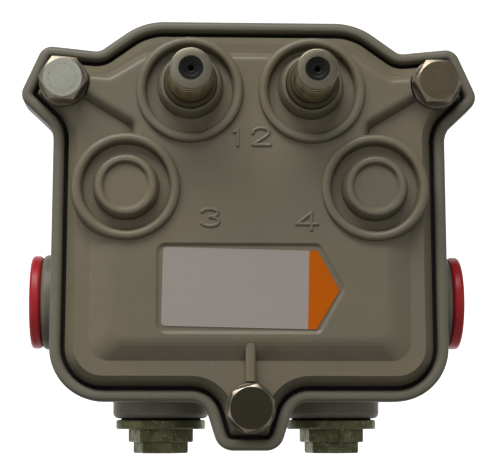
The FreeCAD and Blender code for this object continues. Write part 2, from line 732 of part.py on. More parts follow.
def faceplate():
    outline = shrunk(RIM_CORNERS, RIM_WIDTH + COVER_GAP)
    shelf = shrunk(RIM_CORNERS, RIM_WIDTH + COVER_GAP + COVER_SKIRT_W)
    skirt_y = SHELF_Y + COVER_SKIRT_H
    plate = tapered(shelf, SHELF_Y, outline, skirt_y).fuse(slab(outline, skirt_y, COVER_BACK_Y))
    adds = [plateau(), lobe_rib()]
    for x, z in BOLTS.values():
        adds.append(rod_y(BOLT_PAD_R, x, z, PAD_Y, COVER_BACK_Y).common(slab(outline, PAD_Y, COVER_BACK_Y)))
    plate = plate.fuse(adds)
    clear_y = SHELF_Y + COVER_WALL / 2
    wells, stations = [], []
    for sign in SIDES.values():
        wells.append(rod_y(RING_R, sign * F_RING_X, F_RING_Z, PLATEAU_Y, clear_y))
        wells.append(rod_y(RING_R, sign * BLANK_X, BLANK_Z, PLATEAU_Y, clear_y))
        stations.append(station(sign * F_RING_X, F_RING_Z, sign * F_X, F_Z, False))
        stations.append(station(sign * BLANK_X, BLANK_Z, sign * BLANK_X, BLANK_Z, True))
    plate = plate.cut(wells).fuse(stations)
    pocket_wall = TONGUE_CLEARANCE + TONGUE_WALL
    pocket = slab(shrunk(CAVITY_CORNERS, pocket_wall), SHELF_Y + COVER_WALL, COVER_BACK_Y)
    plate = plate.cut(pocket)
    tongue_y = COVER_BACK_Y + TONGUE_DEPTH
    tongue = slab(shrunk(CAVITY_CORNERS, TONGUE_CLEARANCE), SHELF_Y + COVER_WALL, tongue_y)
    tongue = tongue.cut(slab(shrunk(CAVITY_CORNERS, pocket_wall), SHELF_Y, tongue_y))
    standoffs = [rod_y(STANDOFF_R, x, z, SHELF_Y + COVER_WALL / 2, BOARD_FRONT_Y) for x, z in board_posts()]
    sleeves = [rod_y(F_STEM_R + COVER_WALL, x, F_Z, SHELF_Y, BOARD_FRONT_Y - BOARD_EDGE)
               for x in F_PORTS.values()]
    plate = plate.fuse([tongue] + standoffs + sleeves)
    cuts = [rod_y(F_STEM_R, x, F_Z, BOSS_TOP_Y, BOARD_FRONT_Y) for x in F_PORTS.values()]
    for x, z in BOLTS.values():
        cuts.append(rod_y(WASHER_R + SPOT_FACE_ROOM, x, z, BOSS_TOP_Y, PAD_Y))
        cuts.append(rod_y(BOLT_R + WASHER_CLEARANCE, x, z, PAD_Y, COVER_BACK_Y))
    cuts += [rod_y(BOARD_SCREW_R, x, z, BOARD_BACK_Y - BOARD_SCREW_BITE, BOARD_FRONT_Y)
             for x, z in board_posts()]
    brim = label_loop(LABEL_EDGE_GAP + POCKET_SLOPE_W)
    cuts.append(tapered(brim, PLATEAU_Y, label_loop(LABEL_EDGE_GAP), PLATEAU_Y + POCKET_DEPTH))
    return plate.cut(cuts).removeSplitter()


def label_halves():
    """The label cut across into the wide panel and the pointed tag, stuck on slightly askew."""
    y0 = PLATEAU_Y + POCKET_DEPTH - LABEL_T
    whole = slab(label_loop(0), y0, y0 + LABEL_T)
    middle = V(0, y0, (LABEL_TOP_Z + LABEL_BOTTOM_Z) / 2)
    length = LABEL_TIP_X - LABEL_LEFT_X
    height = LABEL_TOP_Z - LABEL_BOTTOM_Z
    left_half = Part.makeBox(length, LABEL_T, height, V(LABEL_SPLIT_X - length, y0, LABEL_BOTTOM_Z))
    halves = [whole.common(left_half), whole.cut(left_half)]
    for half in halves:
        half.rotate(middle, V(0, 1, 0), LABEL_TURN)
    return halves


# Fasteners of the cover

def hex_head(across_flats, height, x, z, face_y, direction, face):
    """A hexagon head from its bearing face outwards, its corners turned down to a round face."""
    foot = V(x, face_y, z)
    axis = V(0, direction, 0)
    prism = hex_prism(across_flats, height, foot, axis, 0)
    corner_r = across_flats / math.sqrt(3)
    face_r = across_flats * face / 2
    straight = height - (corner_r - face_r) * math.tan(math.radians(HEX_BEVEL))
    barrel = Part.makeCylinder(corner_r, straight, foot, axis)
    cone = Part.makeCone(corner_r, face_r, height - straight, foot + axis * straight, axis)
    return prism.common(barrel.fuse(cone))


def cover_bolt(x, z, turn, face):
    head_y = PAD_Y - WASHER_T
    head = hex_head(BOLT_HEX, BOLT_HEAD_H, x, z, head_y, -1, face)
    shank = rod_y(BOLT_R, x, z, head_y, head_y + BOLT_LENGTH)
    shank = shank.makeChamfer(BOLT_LEAD, [e for e in shank.Edges if at_depth(head_y + BOLT_LENGTH)(e)])
    bolt = joined(head, shank)
    bolt.rotate(V(x, 0, z), V(0, 1, 0), turn)
    return bolt


def bolt_washer(x, z):
    hole_r = BOLT_R + WASHER_CLEARANCE
    washer = rod_y(WASHER_R, x, z, PAD_Y - WASHER_T, PAD_Y)
    washer = rounded(washer, WASHER_EDGE_R, at_depth(PAD_Y - WASHER_T))
    return washer.cut(rod_y(hole_r, x, z, PAD_Y - WASHER_T, PAD_Y))


# F ports

def f_port(x):
    """The plated barrel: stem in the cover, flange, collar and threaded nose."""
    flange_y = BOSS_TOP_Y - F_FLANGE_T
    collar_y = flange_y - F_COLLAR_T
    nose_r = F_THREAD_R - F_END_CHAMFER
    stem_y = BOSS_TOP_Y + F_STEM
    points = [
        (0, F_TIP_Y), (nose_r, F_TIP_Y), (F_THREAD_R, F_TIP_Y + F_END_CHAMFER),
        (F_THREAD_R, collar_y), (F_COLLAR_R, collar_y), (F_COLLAR_R, flange_y),
        (F_FLANGE_R - F_END_CHAMFER, flange_y), (F_FLANGE_R, flange_y + F_END_CHAMFER),
        (F_FLANGE_R, BOSS_TOP_Y), (F_STEM_R, BOSS_TOP_Y), (F_STEM_R, stem_y), (0, stem_y),
    ]
    body = turned(points, x, F_Z)
    bore = rod_y(F_BORE_R, x, F_Z, F_TIP_Y, stem_y - F_BACK_LIP)
    lip_bore = rod_y(F_BACK_BORE_R, x, F_Z, F_TIP_Y, stem_y)
    return body.cut([bore, lip_bore])


def f_insulator(x):
    """The plastic core, which stops on the barrel's back lip, with a funnel for the pin."""
    front_y = F_TIP_Y + F_FACE_SINK
    stem_y = BOSS_TOP_Y + F_STEM
    points = [
        (F_PIN_HOLE_R + F_FACE_SINK, front_y), (F_BORE_R, front_y), (F_BORE_R, stem_y - F_BACK_LIP),
        (F_BACK_BORE_R, stem_y - F_BACK_LIP), (F_BACK_BORE_R, stem_y), (F_CONTACT_R, stem_y),
        (F_CONTACT_R, front_y + F_CONTACT_SINK), (F_PIN_HOLE_R, front_y + F_CONTACT_SINK),
        (F_PIN_HOLE_R, front_y + F_FACE_SINK),
    ]
    return turned(points, x, F_Z)


def f_contact(x):
    """The socket behind the pin hole, with a tail through the board."""
    front_y = F_TIP_Y + F_FACE_SINK + F_CONTACT_SINK
    stem_y = BOSS_TOP_Y + F_STEM
    points = [
        (F_PIN_HOLE_R, front_y), (F_CONTACT_R, front_y), (F_CONTACT_R, stem_y),
        (F_PIN_HOLE_R, stem_y + F_BACK_LIP), (F_PIN_HOLE_R, BOARD_BACK_Y + F_PIN_PAST_BOARD),
        (0, BOARD_BACK_Y + F_PIN_PAST_BOARD), (0, BOSS_TOP_Y), (F_PIN_HOLE_R, BOSS_TOP_Y - F_PIN_HOLE_R),
    ]
    return turned(points, x, F_Z)


# Plugs, seals and caps of the ports

def plug_flange_z():
    """The top of a plug's flange, a small gap below the boss's face."""
    return BOTTOM_BOSS_Z - PLUG_SEAT_GAP


def plug_hex(across_flats, height, foot, sign):
    """One step of the plug's hexagon, eased at its lower end."""
    prism = hex_prism(across_flats, height, foot, V(0, 0, -1), PLUG_TURNS[sign])
    return rounded(prism, PLUG_EDGE_R, lambda e: e.BoundBox.ZMax < foot.z - height / 2)


def port_plug(sign):
    """The stepped hexagon plug: stem, grooved flange, wide hexagon and narrow hexagon."""
    x = sign * BOTTOM_PORT_X
    stem_r = PORT_HOLE_R - PLUG_STEM_CLEARANCE
    flange_z = plug_flange_z()
    stem = rod_z(stem_r, x, PORT_Y, flange_z, flange_z + PLUG_STEM)
    lead = [e for e in stem.Edges if e.BoundBox.ZMin > flange_z + PLUG_STEM / 2]
    stem = stem.makeChamfer(PLUG_LEAD, lead)
    flange = rod_z(PLUG_FLANGE_R, x, PORT_Y, flange_z, flange_z - PLUG_FLANGE_T)
    flange = rounded(flange, PLUG_FLANGE_EDGE_R, lambda e: e.BoundBox.ZLength < 1e-3)
    foot = V(x, PORT_Y, flange_z - PLUG_FLANGE_T)
    wide = plug_hex(PLUG_HEX, PLUG_HEX_H, foot, sign)
    narrow = plug_hex(PLUG_NOSE_HEX, PLUG_NOSE_H, foot - V(0, 0, PLUG_HEX_H), sign)
    plug = flange.fuse([stem, wide, narrow])
    half_width = SEAL_CORD_R + SEAL_GROOVE_PLAY
    groove = rod_z(seal_ring_r() + half_width, x, PORT_Y, seal_z() - SEAL_CORD_R, flange_z)
    groove = groove.cut(rod_z(seal_ring_r() - half_width, x, PORT_Y, seal_z() - SEAL_CORD_R, flange_z))
    return plug.cut(groove).removeSplitter()


def seal_ring_r():
    return PORT_HOLE_R + SEAL_OFFSET


def seal_z():
    """The middle of the O-ring, which stands out of the flange's groove as far as the boss's face."""
    return BOTTOM_BOSS_Z - SEAL_CORD_R + SEAL_SQUEEZE


def port_seal(sign):
    """The O-ring, flattened where it meets the boss."""
    x = sign * BOTTOM_PORT_X
    ring = Part.makeTorus(seal_ring_r(), SEAL_CORD_R, V(x, PORT_Y, seal_z()), V(0, 0, 1))
    below = rod_z(PORT_BOSS_R, x, PORT_Y, BOTTOM_BOSS_Z, BOTTOM_BOSS_Z - 3 * SEAL_CORD_R)
    return ring.common(below)


def port_cap(sign):
    """The push-in cap: dished head and hollow stem with a small lip."""
    stem_r = PORT_MOUTH_R - CAP_STEM_CLEARANCE
    outer_x = SIDE_BOSS_X + CAP_T
    stem_x = SIDE_BOSS_X - CAP_STEM_DEPTH
    points = [
        (0, SIDE_BOSS_X), (stem_r - CAP_STEM_WALL, SIDE_BOSS_X), (stem_r - CAP_STEM_WALL, stem_x),
        (stem_r - CAP_STEM_WALL / 3, stem_x), (stem_r, stem_x + CAP_STEM_WALL), (stem_r, SIDE_BOSS_X),
        (CAP_R, SIDE_BOSS_X), (CAP_R, outer_x), (CAP_DISH_R, outer_x),
        (CAP_DISH_R - CAP_DISH_DEPTH / 2, outer_x - CAP_DISH_DEPTH), (0, outer_x - CAP_DISH_DEPTH),
    ]
    cap = turned(points, 0, 0)
    cap = rounded(cap, CAP_EDGE_R, lambda e: e.BoundBox.YLength < 1e-3
                  and e.BoundBox.XLength > 2 * CAP_R - 1e-3)
    cap.rotate(V(0, 0, 0), V(0, 0, 1), -90 * sign)
    cap.translate(V(0, PORT_Y, SIDE_PORT_Z))
    return cap


# Seizure parts

def post_back_y():
    """The inner end of the post, in its seat in the block."""
    return FLOOR_Y - POST_SEAT


def wire_top_y():
    return PORT_Y - WIRE_HOLE_R


def seizure_post(sign):
    """The brass post: bored from the front for its screw and across for the wire."""
    x = sign * BOTTOM_PORT_X
    post = rod_y(POST_R, x, SIDE_PORT_Z, POST_FRONT_Y, post_back_y())
    post = rounded(post, POST_EDGE_R, at_depth(POST_FRONT_Y))
    bore_r = SCREW_R + SCREW_BORE_CLEARANCE
    bore = rod_y(bore_r, x, SIDE_PORT_Z, POST_FRONT_Y, wire_top_y() + WIRE_HOLE_R)
    cross = rod_x(WIRE_HOLE_R, PORT_Y, SIDE_PORT_Z, x - POST_R - CUT_PAST, x + POST_R + CUT_PAST)
    return post.cut([bore, cross])


def seizure_block(sign):
    """The insulator round the post: flanged foot, round body and a funnel at each end of the wire hole."""
    x = sign * BOTTOM_PORT_X
    foot = rod_y(BLOCK_FOOT_R, x, SIDE_PORT_Z, FLOOR_Y - BLOCK_FOOT_T, FLOOR_Y)
    body = rod_y(BLOCK_R, x, SIDE_PORT_Z, BLOCK_FRONT_Y, FLOOR_Y)
    body = rounded(body, BLOCK_EDGE_R, at_depth(BLOCK_FRONT_Y))
    block = foot.fuse(body)
    cuts = [
        rod_y(POST_R, x, SIDE_PORT_Z, BLOCK_FRONT_Y, post_back_y()),
        rod_x(WIRE_HOLE_R, PORT_Y, SIDE_PORT_Z, x - BLOCK_R, x + BLOCK_R),
    ]
    for side in (-1, 1):
        mouth = V(x + side * BLOCK_R, PORT_Y, SIDE_PORT_Z)
        cuts.append(Part.makeCone(FUNNEL_R, WIRE_HOLE_R, FUNNEL_DEPTH, mouth, V(-side, 0, 0)))
    return block.cut(cuts).removeSplitter()


def seizure_ring(sign):
    """The open snap ring in the socket's groove, over the block's foot."""
    x = sign * BOTTOM_PORT_X
    y = FLOOR_Y - BLOCK_FOOT_T - RING_PLAY - RING_T
    outer_r = BLOCK_FOOT_R + BLOCK_CLEARANCE + RING_GROOVE - RING_PLAY
    inner_r = BLOCK_R + RING_PLAY
    ring = rod_y(outer_r, x, SIDE_PORT_Z, y, y + RING_T)
    ring = ring.cut(rod_y(inner_r, x, SIDE_PORT_Z, y, y + RING_T))
    reach = outer_r + RING_GRIP
    spread = reach * math.tan(math.radians(RING_MOUTH / 2))
    hub = V(x, y, SIDE_PORT_Z)
    mouth = Part.Face(Part.makePolygon([hub, hub + V(reach, 0, spread), hub + V(reach, 0, -spread), hub]))
    return ring.cut(mouth.extrude(V(0, RING_T, 0)))


def seizure_saddle(sign):
    """The pad that presses on the wire, under the screw."""
    y = wire_top_y() - SADDLE_GAP - SADDLE_T
    return rod_y(SCREW_R, sign * BOTTOM_PORT_X, SIDE_PORT_Z, y, y + SADDLE_T)


def seizure_screw(sign):
    """The slotted clamping screw."""
    x = sign * BOTTOM_PORT_X
    end_y = wire_top_y() - SADDLE_GAP - SADDLE_T
    start_y = end_y - SCREW_LENGTH
    screw = rod_y(SCREW_R, x, SIDE_PORT_Z, start_y, end_y)
    slot = Part.makeBox(2 * SCREW_R, SCREW_SLOT_DEPTH, SCREW_SLOT,
                        V(x - SCREW_R, start_y, SIDE_PORT_Z - SCREW_SLOT / 2))
    return screw.cut(slot)


# Circuit board module

def board_posts():
    return [(sign * POST_X, z) for sign in SIDES.values() for z in (POST_TOP_Z, POST_BOTTOM_Z)]


def circuit_board():
    edge = TONGUE_CLEARANCE + TONGUE_WALL + BOARD_EDGE
    board = slab(shrunk(CAVITY_CORNERS, edge), BOARD_FRONT_Y, BOARD_BACK_Y)
    holes = [rod_y(BOARD_SCREW_R, x, z, BOARD_FRONT_Y, BOARD_BACK_Y) for x, z in board_posts()]
    holes += [rod_y(F_PIN_HOLE_R, x, F_Z, BOARD_FRONT_Y, BOARD_BACK_Y) for x in F_PORTS.values()]
    return board.cut(holes)


def board_screws():
    """Pan-head screws, one in each standoff."""
    screws = []
    for x, z in board_posts():
        head = rod_y(BOARD_SCREW_HEAD_R, x, z, BOARD_BACK_Y, BOARD_BACK_Y + BOARD_SCREW_HEAD_H)
        head = rounded(head, BOARD_SCREW_HEAD_H / 2, at_depth(BOARD_BACK_Y + BOARD_SCREW_HEAD_H))
        shank = rod_y(BOARD_SCREW_R, x, z, BOARD_BACK_Y - BOARD_SCREW_BITE, BOARD_BACK_Y)
        screws.append(joined(head, shank))
    return Part.makeCompound(screws)


def shield_cover():
    """The can over the board's parts, open to the board, with a hole round each cup."""
    back_y = BOARD_BACK_Y + SHIELD_DEPTH
    can = slab(mirrored(SHIELD_CORNERS), BOARD_BACK_Y, back_y)
    can = rounded(can, SHIELD_WALL * 2, at_depth(back_y))
    inside = slab(shrunk(SHIELD_CORNERS, SHIELD_WALL), BOARD_BACK_Y, back_y - SHIELD_WALL)
    inside = rounded(inside, SHIELD_WALL, at_depth(back_y - SHIELD_WALL))
    holes = [rod_y(SHIELD_HOLE_R, sign * BOTTOM_PORT_X, SIDE_PORT_Z, back_y - 3 * SHIELD_WALL, back_y)
             for sign in SIDES.values()]
    return can.cut([inside] + holes)


def contact_cup(sign):
    """The sprung cup on the board that grips the front of a seizure post."""
    x = sign * BOTTOM_PORT_X
    inner_r = POST_R + CUP_CLEARANCE
    back_y = POST_FRONT_Y + CUP_OVERLAP - SADDLE_GAP
    cup = rod_y(inner_r + CUP_WALL, x, SIDE_PORT_Z, BOARD_BACK_Y, back_y)
    cup = cup.cut(rod_y(inner_r, x, SIDE_PORT_Z, BOARD_BACK_Y + CUP_BASE_T, back_y))
    for i in range(CUP_SLOTS // 2):
        slot = Part.makeBox(4 * POST_R, CUP_OVERLAP, CUP_SLOT,
                            V(-2 * POST_R, back_y - CUP_OVERLAP, -CUP_SLOT / 2))
        slot.rotate(V(0, 0, 0), V(0, 1, 0), i * 360 / CUP_SLOTS + CUP_SLOT_TURN)
        slot.translate(V(x, 0, SIDE_PORT_Z))
        cup = cup.cut(slot)
    return cup


def ring_core(x, z):
    """A ferrite ring that stands off the board on its windings."""
    y0 = BOARD_BACK_Y + CORE_LIFT
    ring = rod_y(CORE_R, x, z, y0, y0 + CORE_T)
    return ring.cut(rod_y(CORE_HOLE_R, x, z, y0, y0 + CORE_T))


def ring_winding(x, z):
    """Turns of wire about the ring, spread over most of it, resting on the board."""
    middle_y = BOARD_BACK_Y + CORE_LIFT + CORE_T / 2
    half_w = (CORE_R - CORE_HOLE_R) / 2 + TURN_GAP + WIRE_R
    half_h = CORE_T / 2 + TURN_GAP + WIRE_R
    middle_r = (CORE_R + CORE_HOLE_R) / 2
    corner_r = 3 * WIRE_R
    outline = [(half_w, half_h, corner_r), (half_w, -half_h, corner_r),
               (-half_w, -half_h, corner_r), (-half_w, half_h, corner_r)]
    turns = []
    for i in range(CORE_TURNS):
        path = wire(outline, 0)
        section = Part.Wire(Part.makeCircle(WIRE_R, V(half_w, 0, 0), V(0, 0, 1)))
        turn = path.makePipeShell([section], True, False)
        turn.rotate(V(0, 0, 0), V(1, 0, 0), 90)
        turn.translate(V(middle_r, middle_y, 0))
        turn.rotate(V(0, 0, 0), V(0, 1, 0), i * CORE_WOUND / CORE_TURNS)
        turn.translate(V(x, 0, z))
        turns.append(turn)
    return Part.makeCompound(turns)


def choke_y():
    """The choke's axis, so that its winding rests on the board."""
    return BOARD_BACK_Y + CHOKE_ROD_R + TURN_GAP + 2 * CHOKE_WIRE_R


def power_choke_rod():
    return rod_x(CHOKE_ROD_R, choke_y(), CHOKE_Z, -CHOKE_ROD / 2, CHOKE_ROD / 2)


def power_choke_winding():
    """Heavy wire wound on the rod, one helix of even pitch."""
    coil_r = CHOKE_ROD_R + TURN_GAP + CHOKE_WIRE_R
    height = CHOKE_PITCH * CHOKE_TURNS
    helix = Part.makeHelix(CHOKE_PITCH, height, coil_r)
    section = Part.Wire(Part.makeCircle(CHOKE_WIRE_R, V(coil_r, 0, 0), V(0, 1, 0)))
    coil = helix.makePipeShell([section], True, True)
    coil.rotate(V(0, 0, 0), V(0, 1, 0), 90)
    coil.translate(V(-height / 2, choke_y(), CHOKE_Z))
    return coil


def blocking_capacitors():
    """Film capacitors in a row along the board."""
    first_x = -CAPACITOR_SPACING * (CAPACITOR_COUNT - 1) / 2
    made = []
    for i in range(CAPACITOR_COUNT):
        corner = V(first_x + i * CAPACITOR_SPACING - CAPACITOR_W / 2, BOARD_BACK_Y, CAPACITOR_Z)
        block = Part.makeBox(CAPACITOR_W, CAPACITOR_H, CAPACITOR_T, corner)
        top_y = BOARD_BACK_Y + CAPACITOR_H
        made.append(rounded(block, CAPACITOR_EDGE_R, at_depth(top_y)))
    return Part.makeCompound(made)


def chip_resistors():
    """Rows of small chips between the port contacts."""
    made = []
    for row in range(CHIP_ROWS):
        for i in range(CHIP_COUNT):
            x = (i - (CHIP_COUNT - 1) / 2) * CHIP_SPACING
            z = CHIP_Z + row * CHIP_ROW_SPACING
            made.append(Part.makeBox(CHIP_LENGTH, CHIP_H, CHIP_WIDTH,
                                     V(x - CHIP_LENGTH / 2, BOARD_BACK_Y, z - CHIP_WIDTH / 2)))
    return Part.makeCompound(made)


# Strand clamp

def strand_jaw():
    """The loose half of the clamp: groove at the top, heel at the bottom, rounded outside."""
    top_z = STRAND_Z + STRAND_R + JAW_MARGIN
    bottom_z = HEEL_Z - HEEL_R - JAW_MARGIN
    jaw = Part.makeBox(2 * LUG_HALF_LENGTH, JAW_T, top_z - bottom_z,
                       V(-LUG_HALF_LENGTH, JAW_FRONT_Y, bottom_z))
    jaw = rounded(jaw, LUG_CORNER_R, lambda e: e.BoundBox.YLength > JAW_T / 2 or at_depth(JAW_BACK_Y)(e))
    heel = rod_x(HEEL_R, JAW_FRONT_Y, HEEL_Z, -LUG_HALF_LENGTH / 2, LUG_HALF_LENGTH / 2)
    heel = heel.cut(Part.makeBox(2 * LUG_HALF_LENGTH, HEEL_R, 2 * HEEL_R,
                                 V(-LUG_HALF_LENGTH, LUG_BACK_Y - HEEL_R, HEEL_Z - HEEL_R)))
    groove = rod_x(STRAND_R, STRAND_Y, STRAND_Z, -LUG_HALF_LENGTH - CUT_PAST, LUG_HALF_LENGTH + CUT_PAST)
    hole = rod_y(STRAND_BOLT_R + JAW_HOLE_CLEARANCE, 0, STRAND_BOLT_Z, JAW_FRONT_Y, JAW_BACK_Y)
    return jaw.fuse(heel).cut([groove, hole]).removeSplitter()


def strand_washer():
    """The split lock washer under the clamp bolt's head."""
    hole_r = STRAND_BOLT_R + JAW_HOLE_CLEARANCE
    washer = rod_y(LOCK_WASHER_R, 0, STRAND_BOLT_Z, JAW_BACK_Y, JAW_BACK_Y + LOCK_WASHER_T)
    washer = washer.cut(rod_y(hole_r, 0, STRAND_BOLT_Z, JAW_BACK_Y, JAW_BACK_Y + LOCK_WASHER_T))
    slot = Part.makeBox(LOCK_WASHER_SLOT, LOCK_WASHER_T, 2 * LOCK_WASHER_R,
                        V(-LOCK_WASHER_SLOT / 2, JAW_BACK_Y, STRAND_BOLT_Z))
    return washer.cut(slot)


def strand_bolt():
    head_y = JAW_BACK_Y + LOCK_WASHER_T
    head = hex_head(STRAND_BOLT_HEX, STRAND_BOLT_HEAD_H, 0, STRAND_BOLT_Z, head_y, 1, HEX_FACE)
    end_y = LUG_BACK_Y - STRAND_BOLT_BITE
    shank = rod_y(STRAND_BOLT_R, 0, STRAND_BOLT_Z, end_y, head_y)
    shank = shank.makeChamfer(STRAND_BOLT_LEAD, [e for e in shank.Edges if at_depth(end_y)(e)])
    return joined(head, shank)


def main():
    os.makedirs("parts", exist_ok=True)
    write("rear_housing", rear_housing())
    write("faceplate", faceplate())
    write("weather_gasket", weather_gasket())
    write("rf_gasket", rf_gasket())
    panel, tag = label_halves()
    write("label_panel", panel)
    write("value_tag", tag)
    for name, (x, z) in BOLTS.items():
        write("cover_bolt_" + name, cover_bolt(x, z, BOLT_TURNS[name], BOLT_FACES[name]))
        write("bolt_washer_" + name, bolt_washer(x, z))
    for name, x in F_PORTS.items():
        write("f_port_" + name, f_port(x))
        write("f_insulator_" + name, f_insulator(x))
        write("f_contact_" + name, f_contact(x))
    for name, sign in SIDES.items():
        write("port_plug_" + name, port_plug(sign))
        write("port_seal_" + name, port_seal(sign))
        write("port_cap_" + name, port_cap(sign))
        write("seizure_block_" + name, seizure_block(sign))
        write("seizure_post_" + name, seizure_post(sign))
        write("seizure_ring_" + name, seizure_ring(sign))
        write("seizure_saddle_" + name, seizure_saddle(sign))
        write("seizure_screw_" + name, seizure_screw(sign))
        write("contact_cup_" + name, contact_cup(sign))
    write("circuit_board", circuit_board())
    write("board_screws", board_screws())
    write("shield_cover", shield_cover())
    write("coupler_core", ring_core(COUPLER_X, COUPLER_Z))
    write("coupler_winding", ring_winding(COUPLER_X, COUPLER_Z))
    write("splitter_core", ring_core(SPLITTER_X, SPLITTER_Z))
    write("splitter_winding", ring_winding(SPLITTER_X, SPLITTER_Z))
    write("power_choke_rod", power_choke_rod())
    write("power_choke_winding", power_choke_winding())
    write("blocking_capacitors", blocking_capacitors())
    write("chip_resistors", chip_resistors())
    write("strand_jaw", strand_jaw())
    write("strand_washer", strand_washer())
    write("strand_bolt", strand_bolt())


main()
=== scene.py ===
import math

import bpy
import numpy as np
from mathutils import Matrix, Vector


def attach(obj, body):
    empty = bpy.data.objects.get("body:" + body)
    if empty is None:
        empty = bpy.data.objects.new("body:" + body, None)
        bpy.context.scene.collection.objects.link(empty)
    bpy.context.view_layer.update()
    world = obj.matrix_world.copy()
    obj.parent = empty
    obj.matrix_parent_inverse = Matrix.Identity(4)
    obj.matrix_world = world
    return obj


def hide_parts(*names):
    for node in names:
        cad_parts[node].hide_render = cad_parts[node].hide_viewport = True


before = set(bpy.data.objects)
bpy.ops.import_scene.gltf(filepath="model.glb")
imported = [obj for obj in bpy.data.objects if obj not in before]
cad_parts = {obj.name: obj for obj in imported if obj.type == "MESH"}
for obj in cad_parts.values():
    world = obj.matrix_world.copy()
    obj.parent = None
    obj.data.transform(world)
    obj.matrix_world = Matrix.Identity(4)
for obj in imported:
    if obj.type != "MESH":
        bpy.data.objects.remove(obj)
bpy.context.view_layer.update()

# Lengths are in millimetres in the casting's frame: X right, Y back, Z up, from the middle of the rim's
# front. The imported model's origin is the strand's axis, and Blender's unit is the metre.
STRAND = np.array([0.0, 47.0, 39.0])
FORWARD, DOWN = (0.0, -1.0, 0.0), (0.0, 0.0, -1.0)
INCH = 25.4


def metres(points):
    """Points of the casting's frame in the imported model's frame."""
    return (np.asarray(points, float) - STRAND) / 1000.0


# Surfaces

SHARP_DEGREES = 38.0
CURVE_STEPS, LINE_STEPS, STROKE_SIDES = 10, 14, 14


def smooth_piece(name, points, faces):
    """A smooth-shaded object of its own mesh, from points of the casting's frame."""
    mesh = bpy.data.meshes.new(name)
    mesh.from_pydata(metres(points).tolist(), [], faces)
    mesh.polygons.foreach_set("use_smooth", np.ones(len(mesh.polygons), bool))
    piece = bpy.data.objects.new(name, mesh)
    bpy.context.scene.collection.objects.link(piece)
    return piece


def skin(name, rows, closed_along=False):
    """A closed surface through a grid of points, rows by columns, whose columns join round.

    The rows join round too, or each end row is closed by a fan about its own middle. Faces are turned
    outwards by the sign of the volume, a sixth of the sum of the triple products of the faces' corners.
    """
    count, across, _ = rows.shape
    points = rows.reshape(-1, 3)
    last = count if closed_along else count - 1
    r, c = np.meshgrid(np.arange(last), np.arange(across), indexing="ij")
    here, right = r * across + c, r * across + (c + 1) % across
    up, up_right = ((r + 1) % count) * across + c, ((r + 1) % count) * across + (c + 1) % across
    quads = np.stack([here, right, up_right, up], -1).reshape(-1, 4)
    a, b, d = points[quads[:, 0]], points[quads[:, 1]], points[quads[:, 2]]
    inward = np.einsum("ij,ij->i", a - points.mean(0), np.cross(b - a, d - a)).sum() < 0
    faces = (quads[:, ::-1] if inward else quads).tolist()
    if not closed_along:
        ends = np.stack([rows[0].mean(0), rows[-1].mean(0)])
        start, finish = len(points), len(points) + 1
        points = np.concatenate([points, ends])
        ring = np.arange(across)
        near = np.stack([np.full(across, start), (ring + 1) % across, ring], -1)
        base = (count - 1) * across
        far = np.stack([np.full(across, finish), base + ring, base + (ring + 1) % across], -1)
        fans = np.concatenate([near, far])
        faces += (fans[:, ::-1] if inward else fans).tolist()
    piece = smooth_piece(name, points, faces)
    piece.data.set_sharp_from_angle(angle=math.radians(SHARP_DEGREES))
    piece.data.update()
    return piece


def lathe(name, profile, x, z, around=96, thread=None):
    """A profile of (radius, depth) turned about a line along Y, its ends joined into a closed ring.

    A thread takes from the radius a triangular wave of the depth over the pitch plus the angle over a
    whole turn. The wave fades in and out over one pitch at each end of its length.
    """
    radius, depth = np.array(profile).T
    angle = np.linspace(0, 2 * math.pi, around, endpoint=False)
    r = np.repeat(radius[:, None], around, 1)
    y = np.repeat(depth[:, None], around, 1)
    if thread:
        low, high, pitch, height, crest_r = thread
        phase = y / pitch + angle[None, :] / (2 * math.pi)
        wave = np.abs((phase % 1.0) * 2 - 1)
        fade = np.clip((y - low) / pitch, 0, 1) * np.clip((high - y) / pitch, 0, 1)
        outside = np.isclose(r, crest_r) & (y > low) & (y < high)
        r = np.where(outside, r - height * wave * fade, r)
    grid = np.stack([x + r * np.cos(angle), y, z + r * np.sin(angle)], -1)
    return skin(name, grid, closed_along=True)


def smooth_path(points, steps):
    """A curve through the points: between each pair a cubic whose slopes are half the neighbours' span."""
    p = np.array(points, float)
    padded = np.concatenate([[2 * p[0] - p[1]], p, [2 * p[-1] - p[-2]]])
    t = np.linspace(0, 1, steps, endpoint=False)[:, None]
    parts = []
    for a, b, c, d in zip(padded, padded[1:], padded[2:], padded[3:]):
        parts.append(0.5 * (2 * b + (c - a) * t + (2 * a - 5 * b + 4 * c - d) * t ** 2
                            + (3 * b - a - 3 * c + d) * t ** 3))
    return np.concatenate(parts + [p[-1:]])


def cast_stroke(name, points, half_width, rise, face_y):
    """One stroke of a raised numeral: an ellipse carried along a path on the cover's face.

    Past each end of the path the ellipse goes on for less than its half width and shrinks by the root of
    one minus the square of the way past the end over the half width, so that the stroke ends round.
    """
    curved = len(points) > 2
    line = smooth_path(points, CURVE_STEPS) if curved else np.linspace(points[0], points[1], LINE_STEPS)
    step = np.gradient(line, axis=0)
    step /= np.linalg.norm(step, axis=1)[:, None]
    before = np.array([0.98, 0.8, 0.45])
    after = before[::-1]
    path = np.concatenate([line[0] - step[0] * half_width * before[:, None], line,
                           line[-1] + step[-1] * half_width * after[:, None]])
    shrink = np.concatenate([np.sqrt(1 - before ** 2), np.ones(len(line)), np.sqrt(1 - after ** 2)])
    step = np.concatenate([step[:1]] * len(before) + [step] + [step[-1:]] * len(after))
    turn = np.linspace(0, 2 * math.pi, STROKE_SIDES, endpoint=False)
    across = shrink[:, None] * half_width * np.cos(turn)
    out = shrink[:, None] * rise * np.sin(turn)
    grid = np.stack([path[:, :1] - step[:, 1:] * across, face_y - out,
                     path[:, 1:] + step[:, :1] * across], -1)
    return skin(name, grid)


# Finishes

